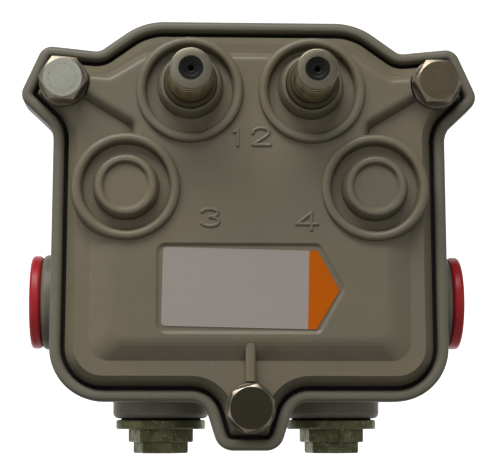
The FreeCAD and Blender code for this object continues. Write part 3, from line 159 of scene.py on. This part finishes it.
class Value:
    """A number that changes over a surface. Arithmetic on it adds Math nodes to its finish."""

    def __init__(self, finish, socket):
        self.finish, self.socket = finish, socket

    def maths(self, operation, *terms):
        return self.finish.node("Math", {"operation": operation}, dict(enumerate(terms)))

    def __add__(self, other):
        return self.maths("ADD", self, other)

    def __sub__(self, other):
        return self.maths("SUBTRACT", self, other)

    def __rsub__(self, other):
        return self.maths("SUBTRACT", other, self)

    def __mul__(self, other):
        return self.maths("MULTIPLY", self, other)

    def __truediv__(self, other):
        return self.maths("DIVIDE", self, other)

    def __rtruediv__(self, other):
        return self.maths("DIVIDE", other, self)

    def __pow__(self, other):
        return self.maths("POWER", self, other)

    def __abs__(self):
        return self.maths("ABSOLUTE", self)

    __radd__ = __add__
    __rmul__ = __mul__

    def wave(self):
        """From 0 up to 1 and back again, once for each whole number."""
        return self.maths("PINGPONG", self, 0.5) * 2

    def between(self, low, high):
        """0 below low, 1 above high, smooth in between. Low above high turns it round."""
        return self.finish.node("MapRange", {"interpolation_type": "SMOOTHSTEP"},
                                {"Value": self, "From Min": low, "From Max": high,
                                 "To Min": 0.0, "To Max": 1.0})


class Finish:
    """A material made of one Principled surface and the nodes that vary it."""

    def __init__(self, name, **constants):
        self.material = bpy.data.materials.new(name)
        self.material.use_nodes = True
        self.nodes, self.links = self.material.node_tree.nodes, self.material.node_tree.links
        self.surface = self.nodes["Principled BSDF"]
        for socket, value in constants.items():
            self.surface.inputs[socket.replace("_", " ")].default_value = value

    def put(self, socket, value):
        if isinstance(value, Value):
            self.links.new(value.socket, socket)
        elif isinstance(value, tuple) and socket.type == "RGBA":
            socket.default_value = (*value, 1.0)
        else:
            socket.default_value = value

    def node(self, kind, settings=None, sockets=None, out=0):
        """Any node: its type, its settings, what its sockets hold, and which output is wanted."""
        made = self.nodes.new("ShaderNode" + kind)
        for setting, value in (settings or {}).items():
            setattr(made, setting, value)
        for socket, value in (sockets or {}).items():
            self.put(made.inputs[socket], value)
        return Value(self, made.outputs[out])

    def show(self, **sockets):
        """Links or sets the sockets of the surface that vary, such as Base_Color."""
        for socket, value in sockets.items():
            self.put(self.surface.inputs[socket.replace("_", " ")], value)
        return self

    def place(self, centre=(0, 0, 0), turn=(0, 0, 0), stretch=(1, 1, 1)):
        """Object coordinates in millimetres, from a point of the casting's frame, turned and stretched."""
        moved = self.node("VectorMath", {"operation": "SUBTRACT"},
                          {0: self.node("TexCoord", out="Object"), 1: tuple(metres(centre).tolist())})
        return self.node("Mapping", {}, {"Vector": moved, "Rotation": tuple(math.radians(v) for v in turn),
                                         "Scale": tuple(1000.0 * v for v in stretch)})

    def axes(self, **where):
        """The three object coordinates as Values, in millimetres."""
        vector = self.place(**where)
        return [self.node("SeparateXYZ", {}, {0: vector}, out=i) for i in range(3)]

    def noise(self, size, detail=2.0, roughness=0.5, **where):
        """Cloudy noise whose patches are about size millimetres across."""
        return self.node("TexNoise", {}, {"Vector": self.place(**where), "Scale": 1.0 / size,
                                          "Detail": detail, "Roughness": roughness})

    def specks(self, size, **where):
        """Distance to the nearest of scattered points, in units of size."""
        return self.node("TexVoronoi", {}, {"Vector": self.place(**where), "Scale": 1.0 / size})

    def mix(self, one, other, share):
        """A colour part of the way from one to another."""
        return self.node("Mix", {"data_type": "RGBA"}, {0: share, 6: one, 7: other}, out=2)

    def hollow(self, reach, inside=False):
        """1 in the open and towards 0 in corners within reach millimetres, or on edges seen from inside."""
        return self.node("AmbientOcclusion", {"samples": 8, "inside": inside},
                         {"Distance": reach / 1000.0}, out="AO")

    def facing(self, direction):
        """How far the surface faces a direction of its own body, from -1 to 1."""
        return self.node("VectorMath", {"operation": "DOT_PRODUCT"},
                         {0: self.node("TexCoord", out="Normal"), 1: direction}, out="Value")

    def bump(self, *layers):
        """Bumps laid over each other, each a height from 0 to 1 and its depth in millimetres."""
        normal = None
        for height, depth in layers:
            sockets = {"Height": height, "Distance": depth / 1000.0, "Strength": 1.0}
            if normal is not None:
                sockets["Normal"] = normal
            normal = self.node("Bump", {}, sockets)
        return self.show(Normal=normal)

    def thread(self, along, centre, pitch):
        """Ridges of a screw thread: a wave of the way along it over the pitch plus the turn round it."""
        x, y, z = self.axes(centre=centre)
        across, way = ((x, z), y) if along == "Y" else ((x, y), z)
        angle = x.maths("ARCTAN2", across[1], across[0]) * (1 / (2 * math.pi))
        return (way / pitch + angle).wave()


def paint(finish, *nodes):
    """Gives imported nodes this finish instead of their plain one."""
    for name in nodes:
        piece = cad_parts[name]
        piece.data.materials.clear()
        piece.data.materials.append(finish.material)


def dress(piece, finish, body, slot, *replaced):
    """Gives a new piece its finish, the body that it rides on and the nodes that it stands for."""
    piece.data.materials.append(finish.material)
    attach(piece, body)
    if replaced:
        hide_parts(*replaced)


# A dark tone for dust, and for painted shade in corners, on undersides and along the label's edges.
DUST_AND_SHADE = (0.050, 0.044, 0.028)


def casting(name, tone, cool, rough=0.35):
    """Painted die-casting: two tones in clouds, stains, fine grain, dust and painted shade in corners,
    painted shade on undersides.
    """
    f = Finish(name)
    clouds = f.noise(26, 3, 0.55).between(0.35, 0.65)
    stains = f.noise(7, 4, 0.6, centre=(31, 7, 5)).between(0.45, 0.8)
    grain = f.noise(0.55, 2)
    corner_shade = 1 - f.hollow(3.0)
    colour = f.mix(tone, cool, clouds)
    colour = f.mix(colour, tuple(0.86 * c for c in tone), stains * 0.5)
    colour = f.mix(colour, tuple(1.25 * c for c in tone), f.noise(1.6, 3).between(0.62, 0.8) * 0.35)
    # Painted shade: down-facing surfaces and corners are darkened towards the dark tone, with dust in the
    # corners too.
    under = f.facing(DOWN).between(0.05, 0.65)
    colour = f.mix(colour, DUST_AND_SHADE, (corner_shade * 0.95 + stains * 0.10 + under * 0.8).between(0.2, 1.2) * 0.75)
    f.show(Base_Color=colour, Roughness=rough + stains * 0.10 + grain * 0.08 + corner_shade * 0.25)
    return f.bump((f.noise(3.5, 2, centre=(9, 2, 4)), 0.035), (grain, 0.018), (f.noise(0.2, 1), 0.008))


def plated(name, bright, dull, rough, worn=0.4, size=6.0):
    """Plated metal: clouds of dullness, fine scratches that are noise stretched along a direction, and
    painted shade in corners.
    """
    f = Finish(name, Metallic=1.0)
    clouds = f.noise(size, 4, 0.6).between(0.35, 0.7)
    lines = f.noise(0.35, 2, turn=(0, 30, 0), stretch=(0.06, 1, 1.6)).between(0.52, 0.72)
    corner_shade = 1 - f.hollow(1.2)
    colour = f.mix(bright, dull, clouds * worn)
    # Painted shade: darker in corners.
    colour = f.mix(colour, tuple(0.35 * c for c in dull), corner_shade.between(0.2, 1.0))
    f.show(Base_Color=colour, Roughness=rough + clouds * 0.14 + lines * 0.08 + corner_shade * 0.2)
    return f.bump((lines, 0.02), (f.noise(0.5, 2), 0.006))


def plastic(name, colour, rough, deep=None, grain=0.006, size=8.0):
    """Moulded plastic: a faint cloud in the colour, fine grain and painted shade in the corners."""
    f = Finish(name)
    clouds = f.noise(size, 3).between(0.3, 0.7)
    corner_shade = 1 - f.hollow(1.5)
    # Painted shade: darker towards the deep tone in corners.
    shade = f.mix(colour, deep or tuple(0.8 * c for c in colour), clouds * 0.6 + corner_shade * 0.5)
    f.show(Base_Color=shade, Roughness=rough + clouds * 0.08 + corner_shade * 0.15)
    return f.bump((f.noise(0.3, 2), grain), (f.noise(4, 2), grain))


# The housing and the cover

case_grey = casting("case_grey", (0.208, 0.188, 0.136), (0.190, 0.176, 0.131), rough=0.44)
cover_grey = casting("cover_grey", (0.226, 0.192, 0.124), (0.210, 0.184, 0.126))
jaw_grey = casting("jaw_grey", (0.22, 0.21, 0.17), (0.20, 0.19, 0.16))
paint(case_grey, "rear_housing")
paint(cover_grey, "faceplate")
paint(jaw_grey, "strand_jaw")


# Numerals cast on the cover, each stroke a path of (across, up) on the plateau

FACE_Y, STROKE_HALF_WIDTH, STROKE_RISE = -5.0, 0.45, 0.38
NUMERALS = {
    "one": [[(-3.95, 24.5), (-3.1, 25.2)], [(-3.1, 25.2), (-3.1, 21.3)]],
    "two": [[(0.45, 24.3), (0.75, 25.0), (1.7, 25.45), (3.0, 25.5), (4.05, 25.05), (4.25, 24.3),
             (3.6, 23.6), (2.0, 22.55), (0.45, 21.5)],
            [(0.45, 21.5), (4.6, 21.5)]],
    "three": [[(-11.6, 5.5), (-10.7, 6.05), (-9.6, 6.15), (-8.5, 5.95), (-7.8, 5.4), (-8.1, 4.7),
               (-9.0, 4.3), (-9.7, 4.2)],
              [(-9.7, 4.2), (-8.6, 4.1), (-7.75, 3.6), (-7.7, 2.9), (-8.4, 2.35), (-9.6, 2.15),
               (-10.8, 2.3), (-11.6, 2.8)]],
    "four": [[(14.3, 5.4), (10.9, 2.7)], [(10.9, 2.7), (15.7, 2.7)], [(14.3, 5.4), (14.3, 1.3)]],
}
for word, strokes in NUMERALS.items():
    for i, stroke in enumerate(strokes):
        piece = cast_stroke("numeral_%s_%d" % (word, i + 1), stroke, STROKE_HALF_WIDTH, STROKE_RISE, FACE_Y)
        dress(piece, cover_grey, "cover", "cast_grey_cover")


# The F ports: threaded barrels and their cores

PORT_X, PORT_Z = 14.35, 35.7
# Depths: the tip, the end of the thread, the flange's seat, the step in the bore and the rear end.
PORT_TIP, SHANK_END, PORT_SEAT, BORE_END, PORT_REAR = -24.7, -11.7, -8.2, -1.9, -0.7
BORE_R, REAR_BORE_R, STUB_R, CREST_R, COLLAR_R, FLANGE_R = 2.7, 2.0, 4.6, 4.76, 5.2, 6.3
THREAD_PITCH, THREAD_HEIGHT = INCH / 32, 0.38
THREAD_START, THREAD_STOP = -24.0, -11.75
CORE_FACE, CONTACT_HOLE_R = PORT_TIP + 0.3, 0.6


def barrel_profile():
    """The barrel's section, up its bore, over the nose, down the thread and the flange, and back."""
    nose = [(BORE_R, BORE_END), (BORE_R, PORT_TIP + 0.2), (2.85, PORT_TIP), (4.4, PORT_TIP),
            (4.58, PORT_TIP + 0.06), (4.68, PORT_TIP + 0.2)]
    shank = [(CREST_R, y) for y in np.arange(PORT_TIP + 0.55, SHANK_END, THREAD_PITCH / 9)]
    flange = [(CREST_R, SHANK_END), (COLLAR_R, SHANK_END), (COLLAR_R, -10.15), (5.8, -10.1), (6.15, -9.98),
              (FLANGE_R, -9.7), (FLANGE_R, PORT_SEAT)]
    stub = [(STUB_R, PORT_SEAT), (STUB_R, PORT_REAR), (REAR_BORE_R, PORT_REAR), (REAR_BORE_R, BORE_END)]
    return nose + shank + flange + stub


def core_profile():
    """The core's section: a small lip round the contact's hole, the face and the sides in the bore."""
    lip = [(CONTACT_HOLE_R, CORE_FACE + 0.55), (0.75, CORE_FACE + 0.3), (1.15, CORE_FACE + 0.16),
           (1.3, CORE_FACE + 0.32), (1.5, CORE_FACE + 0.3), (2.0, CORE_FACE + 0.02)]
    body = [(2.25, CORE_FACE), (BORE_R, CORE_FACE), (BORE_R, BORE_END), (REAR_BORE_R, BORE_END),
            (REAR_BORE_R, PORT_REAR)]
    return lip + body + [(1.0, PORT_REAR), (1.0, CORE_FACE + 1.5), (CONTACT_HOLE_R, CORE_FACE + 1.5)]


def port_metal(name, x, bright, brass, worn):
    """Tin plate over brass, brown and dull down the barrel, with painted shade in the thread's roots and on
    its underside.

    The forward-facing end takes the brighter tin tone, partly tin and partly a painted reflection, with a
    painted highlight round the tip's edge. Painted highlights lie on the thread's crests in rings three
    pitches apart towards the tip, and it is darker on the collar and the flange.
    """
    f = Finish(name, Metallic=1.0)
    across, y, up = f.axes(centre=(x, 0, PORT_Z))
    radius = (across * across + up * up) ** 0.5
    # Partly tin and partly a painted reflection: the forward-facing end takes the brighter tone.
    front = f.facing(FORWARD).between(0.55, 0.95) * y.between(-19.5, PORT_TIP + 0.7)
    clouds = f.noise(2.2, 4, 0.65).between(0.3, 0.7)
    # Painted shade in the thread's roots.
    root = (1 - f.hollow(0.8)).between(0.15, 0.8)
    # Painted highlights: gold lines on the thread's crests, three pitches apart.
    crest_highlight = ((y - PORT_TIP) / (3 * THREAD_PITCH)).wave().between(0.42, 0.14) * y.between(-16.0, -22.5)
    # Painted shade on the underside.
    under = f.facing(DOWN).between(0.2, 0.9)
    # Painted highlight round the tip's edge.
    edge = y.between(PORT_TIP + 0.7, PORT_TIP + 0.3)
    barrel = f.mix(brass, tuple(0.6 * c for c in brass), clouds * 0.7)
    barrel = f.mix(barrel, (0.05, 0.038, 0.02), root * 0.4 + under * 0.35)
    barrel = f.mix(barrel, (0.80, 0.67, 0.36), crest_highlight * 0.85)
    barrel = f.mix(barrel, tuple(1.7 * c for c in bright), edge)
    barrel = f.mix(barrel, (0.085, 0.074, 0.046), radius.between(4.9, 5.2) * 0.85)
    colour = f.mix(barrel, f.mix(bright, brass, clouds * worn), front)
    f.show(Base_Color=colour, Roughness=0.46 - edge * 0.14 + clouds * 0.12 + root * 0.12)
    return f.bump((f.noise(0.4, 3), 0.01))


core_black = plastic("core_black", (0.006, 0.006, 0.0045), 0.5)
core_black.surface.inputs["Specular IOR Level"].default_value = 0.25
# Port 2 takes slightly darker tones than port 1: painted shade on the right-hand port.
for number, side, bright, brass, worn in (("1", -1, (0.315, 0.297, 0.23), (0.27, 0.222, 0.12), 0.35),
                                          ("2", 1, (0.29, 0.27, 0.207), (0.25, 0.212, 0.12), 0.6)):
    barrel = lathe("threaded_barrel_" + number, barrel_profile(), side * PORT_X, PORT_Z,
                   thread=(THREAD_START, THREAD_STOP, THREAD_PITCH, THREAD_HEIGHT, CREST_R))
    dress(barrel, port_metal("port_metal_" + number, side * PORT_X, bright, brass, worn), "cover",
          "f_plating", "f_port_" + number)
    core = lathe("port_core_" + number, core_profile(), side * PORT_X, PORT_Z, around=64)
    dress(core, core_black, "cover", "black_plastic", "f_insulator_" + number)


# Bolts, washers, plugs, caps and seals

HEAD_SEAT_Y, SIDE_BOLT_X, SIDE_BOLT_Z, BOTTOM_BOLT_Z = -4.3, 44.4, 36.7, -40.5
BOLT_SHANK_R, BOLT_PITCH = 3.0, 1.0


def bolt_metal(name, centre, bright, dull, face, rough, face_rough, turn):
    """A bolt: a face of its own tone, a painted reflection, with a ring of nicks, cloudy chamfers and
    flats, painted shade in corners, a threaded shank.
    """
    f = Finish(name, Metallic=1.0)
    x, y, z = f.axes(centre=centre)
    radius = (x * x + z * z) ** 0.5
    front = f.facing(FORWARD).between(0.9, 0.99)
    clouds = f.noise(2.5, 4, 0.65).between(0.3, 0.7)
    lines = f.noise(0.35, 2, turn=(0, turn, 0), stretch=(0.08, 1, 1.5)).between(0.5, 0.7)
    rub = f.noise(1.2, 3, centre=(3, 1, 2)).between(0.42, 0.6)
    # Painted shade in corners.
    corner_shade = (1 - f.hollow(1.5)).between(0.25, 1.0)
    side = f.mix(bright, dull, clouds * 0.8)
    top = f.mix(face, tuple(min(1.0, 1.25 * c) for c in face), lines * 0.3 + rub * 0.2)
    ring = radius.between(2.8, 3.1) * radius.between(3.8, 3.4)
    nicks = f.noise(0.45, 3, centre=(8, 1, 3)).between(0.58, 0.66)
    top = f.mix(top, tuple(0.3 * c for c in dull), ring * (nicks * 0.7 + 0.07))
    colour = f.mix(f.mix(side, top, front), (0.05, 0.042, 0.03), corner_shade * 0.8)
    f.show(Base_Color=colour,
           Roughness=rough + (face_rough - rough) * front + clouds * 0.10 + corner_shade * 0.25)
    shank = radius.between(BOLT_SHANK_R + 0.1, BOLT_SHANK_R + 0.02) * y.between(0.05, 0.3)
    return f.bump((f.thread("Y", centre, BOLT_PITCH) * shank, 0.35), (lines, 0.006), (clouds, 0.010))


# The three bolts are alike; their face tones, bright, brown and dark, are painted reflections.
paint(bolt_metal("bolt_zinc", (-SIDE_BOLT_X, HEAD_SEAT_Y, SIDE_BOLT_Z), (0.52, 0.465, 0.375),
                 (0.265, 0.22, 0.16), (0.47, 0.47, 0.41), 0.34, 0.42, 35), "cover_bolt_left")
paint(bolt_metal("bolt_warm", (SIDE_BOLT_X, HEAD_SEAT_Y, SIDE_BOLT_Z), (0.48, 0.41, 0.31),
                 (0.25, 0.20, 0.14), (0.17, 0.14, 0.088), 0.34, 0.45, -20), "cover_bolt_right")
paint(bolt_metal("bolt_dark", (0.0, HEAD_SEAT_Y, BOTTOM_BOLT_Z), (0.56, 0.46, 0.36),
                 (0.28, 0.22, 0.155), (0.066, 0.060, 0.042), 0.30, 0.46, 70), "cover_bolt_bottom")
paint(plated("washer_steel", (0.27, 0.25, 0.205), (0.12, 0.105, 0.078), 0.38, 0.8),
      "bolt_washer_left", "bolt_washer_right", "bolt_washer_bottom")


PLUG_X, PLUG_Y, PLUG_Z, PLUG_PITCH = 21.2, 23.0, -42.7, INCH / 24


def chromate(name, x):
    """Olive chromate over zinc: clouds, bright flecks, edges lighter from wear and painted highlight,
    painted shade in corners, a threaded stem.
    """
    f = Finish(name, Metallic=0.85)
    clouds = f.noise(3.0, 5, 0.65).between(0.3, 0.7)
    film = f.noise(9.0, 3, centre=(5, 5, 5)).between(0.35, 0.65)
    corner_shade = (1 - f.hollow(1.6)).between(0.2, 1.0)
    flecks = f.noise(0.9, 3, centre=(2, 6, 1)).between(0.60, 0.72)
    colour = f.mix((0.18, 0.19, 0.102), (0.066, 0.075, 0.036), clouds)
    colour = f.mix(colour, (0.21, 0.173, 0.082), film * 0.45)
    # Lighter edges: wear and painted highlight.
    edge = (1 - f.hollow(0.7, inside=True)).between(0.15, 0.5)
    edge_wear_and_highlight = edge * f.noise(1.5, 3, centre=(1, 1, 7)).between(0.35, 0.55)
    colour = f.mix(colour, (0.50, 0.52, 0.37), flecks * 0.5 + edge_wear_and_highlight * 0.7)
    # Painted shade in corners.
    colour = f.mix(colour, (0.018, 0.02, 0.01), corner_shade * 0.85)
    f.show(Base_Color=colour, Roughness=0.36 + clouds * 0.18 + corner_shade * 0.2 - flecks * 0.08)
    seat = (x, PLUG_Y, PLUG_Z)
    stem = f.axes(centre=seat)[2].between(0.05, 0.25)
    return f.bump((f.thread("Z", seat, PLUG_PITCH) * stem, 0.4), (f.noise(0.8, 3), 0.02))


for name, side in (("left", -1), ("right", 1)):
    paint(chromate("plug_chromate_" + name, side * PLUG_X), "port_plug_" + name)
paint(plastic("cap_red", (0.56, 0.018, 0.022), 0.34, (0.40, 0.010, 0.014)),
      "port_cap_left", "port_cap_right")


def rubber(name):
    """Black rubber with a grey bloom and dust."""
    f = Finish(name)
    bloom = f.noise(5, 4, 0.6).between(0.4, 0.75)
    f.show(Base_Color=f.mix((0.006, 0.0055, 0.004), (0.016, 0.0145, 0.010), bloom),
           Roughness=0.72 + bloom * 0.12)
    return f.bump((f.noise(0.4, 2), 0.02))


paint(rubber("seal_rubber"), "weather_gasket", "port_seal_left", "port_seal_right")


def knitted(name):
    """Tinned wire mesh cord: two sets of fine diagonal ridges across each other."""
    f = Finish(name, Metallic=1.0)
    x, y, z = f.axes()
    pitch = 0.5
    loops = ((x + z + y) / pitch).wave() * ((x - z - y) / pitch).wave()
    f.show(Base_Color=f.mix((0.20, 0.20, 0.19), (0.72, 0.72, 0.69), loops), Roughness=0.35 + loops * 0.1)
    return f.bump((loops, 0.15))


paint(knitted("tinned_mesh"), "rf_gasket")


# The label

def film(name, colour, deep, shine):
    """Printed film on foil: fine brushed lines along it, faint rubs, painted shade along its edges."""
    f = Finish(name, Metallic=shine)
    brushed = f.noise(0.25, 2, stretch=(0.03, 1, 1)).between(0.3, 0.7)
    rubs = f.noise(5, 4, 0.6, turn=(0, 25, 0), stretch=(0.5, 1, 1.6)).between(0.55, 0.8)
    edge = (1 - f.hollow(1.0)).between(0.1, 0.9)
    # Painted shade along the edges.
    colour = f.mix(f.mix(colour, deep, brushed * 0.35 + rubs * 0.5), DUST_AND_SHADE, edge * 0.6)
    f.show(Base_Color=colour, Roughness=0.36 + brushed * 0.08 + rubs * 0.15)
    return f.bump((brushed, 0.004), (f.noise(6, 2), 0.02))


paint(film("label_silver", (0.45, 0.40, 0.366), (0.40, 0.357, 0.328), 0.1), "label_panel")
tag_orange = film("tag_orange", (0.66, 0.135, 0.0015), (0.58, 0.12, 0.002), 0.0)
tag_orange.surface.inputs["Specular IOR Level"].default_value = 0.12
paint(tag_orange, "value_tag")


# Inside: board, screening can, windings and the seizure parts

def circuit(name):
    """Solder-masked board: mask green, lighter where copper runs under it, with tinned spots."""
    f = Finish(name)
    runs = (f.noise(4.0, 0, stretch=(1, 1, 0.18)).between(0.50, 0.53)
            * f.noise(4.5, 0, stretch=(0.2, 1, 1), centre=(3, 3, 3)).between(0.38, 0.42))
    pads = f.specks(5.0).between(0.16, 0.12)
    colour = f.mix(f.mix((0.012, 0.075, 0.030), (0.03, 0.16, 0.06), runs), (0.60, 0.60, 0.57), pads)
    f.show(Base_Color=colour, Metallic=pads * 0.9, Roughness=0.28 + pads * 0.1)
    return f.bump((runs, 0.04), (pads, 0.06))


paint(circuit("board_green"), "circuit_board")
paint(plated("tin_plate", (0.70, 0.69, 0.66), (0.45, 0.44, 0.41), 0.25, 0.5, size=12), "shield_cover")
paint(plated("screw_steel", (0.58, 0.57, 0.54), (0.34, 0.33, 0.30), 0.28), "board_screws",
      "seizure_ring_left", "seizure_ring_right", "seizure_screw_left", "seizure_screw_right")
paint(plated("contact_brass", (0.70, 0.52, 0.24), (0.42, 0.28, 0.11), 0.26), "f_contact_1", "f_contact_2",
      "contact_cup_left", "contact_cup_right", "seizure_post_left", "seizure_post_right",
      "seizure_saddle_left", "seizure_saddle_right")
paint(plastic("ferrite", (0.035, 0.034, 0.036), 0.55, grain=0.02, size=2), "coupler_core", "splitter_core",
      "power_choke_rod")


def enamel(name, tone, deep):
    """Enamelled wire: copper under tinted varnish, with painted shade where turns meet."""
    f = Finish(name, Metallic=0.9, Coat_Weight=0.5, Coat_Roughness=0.12)
    clouds = f.noise(2, 3).between(0.3, 0.7)
    turn_shade = (1 - f.hollow(0.8)).between(0.2, 0.9)
    # Painted shade where turns meet.
    f.show(Base_Color=f.mix(f.mix(tone, deep, clouds * 0.5), tuple(0.3 * c for c in deep), turn_shade),
           Roughness=0.28 + clouds * 0.1)
    return f.bump((f.noise(0.6, 2), 0.008))


paint(enamel("copper_red", (0.55, 0.17, 0.07), (0.33, 0.08, 0.03)),
      "coupler_winding", "power_choke_winding")
paint(enamel("copper_green", (0.12, 0.30, 0.10), (0.05, 0.16, 0.05)), "splitter_winding")
paint(plastic("film_yellow", (0.66, 0.40, 0.03), 0.36), "blocking_capacitors")


def chip(name):
    """Chip resistors: black glazed bodies with faint clouds."""
    f = Finish(name)
    clouds = f.noise(1.0, 2).between(0.3, 0.7)
    f.show(Base_Color=f.mix((0.016, 0.016, 0.017), (0.03, 0.03, 0.032), clouds),
           Roughness=0.4 + clouds * 0.1)
    return f.bump((f.noise(0.3, 2), 0.01))


paint(chip("chip_black"), "chip_resistors")
paint(plastic("block_white", (0.66, 0.63, 0.55), 0.42), "seizure_block_left", "seizure_block_right")


STRAND_BOLT, STRAND_BOLT_R, STRAND_BOLT_PITCH = (0.0, 47.5, 30.0), 3.95, INCH / 18


def galvanised(name):
    """Hot-dipped zinc: grey flakes of two millimetres, threads along the shank."""
    f = Finish(name, Metallic=1.0)
    flake_size = 2.0
    flakes = f.node("TexVoronoi", {}, {"Vector": f.place(), "Scale": 1 / flake_size}, out="Color")
    tone = f.node("SeparateColor", {}, {0: flakes})
    clouds = f.noise(4, 3).between(0.3, 0.7)
    x, _, z = f.axes(centre=STRAND_BOLT)
    shank = ((x * x + z * z) ** 0.5).between(STRAND_BOLT_R + 0.1, STRAND_BOLT_R + 0.02)
    f.show(Base_Color=f.mix((0.42, 0.43, 0.43), (0.56, 0.57, 0.57), tone * 0.7 + clouds * 0.3),
           Roughness=0.38 + tone * 0.12 + clouds * 0.08)
    return f.bump((f.thread("Y", STRAND_BOLT, STRAND_BOLT_PITCH) * shank, 0.4), (clouds, 0.03))


paint(galvanised("strand_steel"), "strand_bolt", "strand_washer")


# Studio: a round pale floor that turns up all round, soft lamps, and the photograph's camera

FLOOR_MIDDLE_Y, FLOOR_Z, FLOOR_FLAT_R, WALL_BEND_R, WALL_TOP_Z = -500.0, -450.0, 900.0, 500.0, 2600.0


def studio_bowl(middle_y, floor_z, flat, bend, top):
    """A round floor that turns up all round along a quarter circle and stands: a profile turned about Z.

    The floor is pale paint. Its far parts glow faintly and the wall behind the object glows white.
    """
    arc = np.linspace(0, math.pi / 2, 24)
    radius = np.concatenate([[0.0], flat + bend * np.sin(arc), [flat + bend]])
    height = np.concatenate([[floor_z], floor_z + bend * (1 - np.cos(arc)), [top]])
    turn = np.linspace(0, 2 * math.pi, 96, endpoint=False)
    grid = np.stack(np.broadcast_arrays(radius[:, None] * np.cos(turn),
                                        middle_y + radius[:, None] * np.sin(turn), height[:, None]), -1)
    rows, around, _ = grid.shape
    r, c = np.meshgrid(np.arange(rows - 1), np.arange(around), indexing="ij")
    here, up, after = r * around, (r + 1) * around, (c + 1) % around
    quads = np.stack([here + c, up + c, up + after, here + after], -1)
    piece = smooth_piece("studio_bowl", grid.reshape(-1, 3), quads.reshape(-1, 4).tolist())
    pale = Finish("pale_floor", Roughness=0.9, Emission_Strength=1.0)
    x, y, z = pale.axes()
    behind = y.between(300, 700) * abs(x).between(900, 450) * z.between(1300, 700)
    far = ((x * x + y * y) ** 0.5).between(500, 1400) * z.between(650, 0)
    glow = pale.mix(pale.mix((0.0, 0.0, 0.0), (0.20, 0.20, 0.199), far), (1.0, 1.0, 0.995), behind)
    pale.show(Base_Color=pale.mix((0.42, 0.42, 0.416), (0.40, 0.40, 0.396), pale.noise(60, 3)),
              Emission_Color=glow)
    piece.data.materials.append(pale.material)


studio_bowl(FLOOR_MIDDLE_Y, FLOOR_Z, FLOOR_FLAT_R, WALL_BEND_R, WALL_TOP_Z)


def aimed(name, data, spot, aim):
    """A lamp or a camera at a spot of the casting's frame, turned towards another."""
    piece = bpy.data.objects.new(name, data)
    piece.location = metres(spot)
    piece.rotation_euler = (Vector(metres(aim)) - Vector(metres(spot))).to_track_quat("-Z", "Y").to_euler()
    bpy.context.scene.collection.objects.link(piece)
    return piece


def soft_lamp(name, spot, aim, width, height, power):
    """An oblong area lamp, its sides in millimetres and its power in watts."""
    lamp = bpy.data.lights.new(name, "AREA")
    lamp.shape, lamp.size, lamp.size_y = "RECTANGLE", width / 1000.0, height / 1000.0
    lamp.energy = power
    aimed(name, lamp, spot, aim)


soft_lamp("key_upper_left", (-260, -553, 860), (0, 0, 0), 1000, 450, 8.9)
soft_lamp("window_front_left", (-260, -1000, 340), (0, 0, 0), 300, 300, 0.35)
soft_lamp("fill_low_left", (-800, -420, -60), (0, 0, -40), 300, 300, 0.3)

world = bpy.data.worlds.new("studio")
world.use_nodes = True
air = world.node_tree.nodes["Background"]
air.inputs["Color"].default_value = (1.0, 1.0, 0.99, 1.0)
air.inputs["Strength"].default_value = 0.03
bpy.context.scene.world = world
bpy.context.scene.view_settings.view_transform = "Standard"

CAMERA_SPOT, FOCAL_LENGTH, SENSOR_WIDTH = (-16.4, -391.9, -45.0), 119.4, 36.0
photo_camera = bpy.data.cameras.new("photo_camera")
photo_camera.lens, photo_camera.sensor_width = FOCAL_LENGTH, SENSOR_WIDTH
bpy.context.scene.camera = aimed("photo_camera", photo_camera, CAMERA_SPOT, (0, 0, 0))
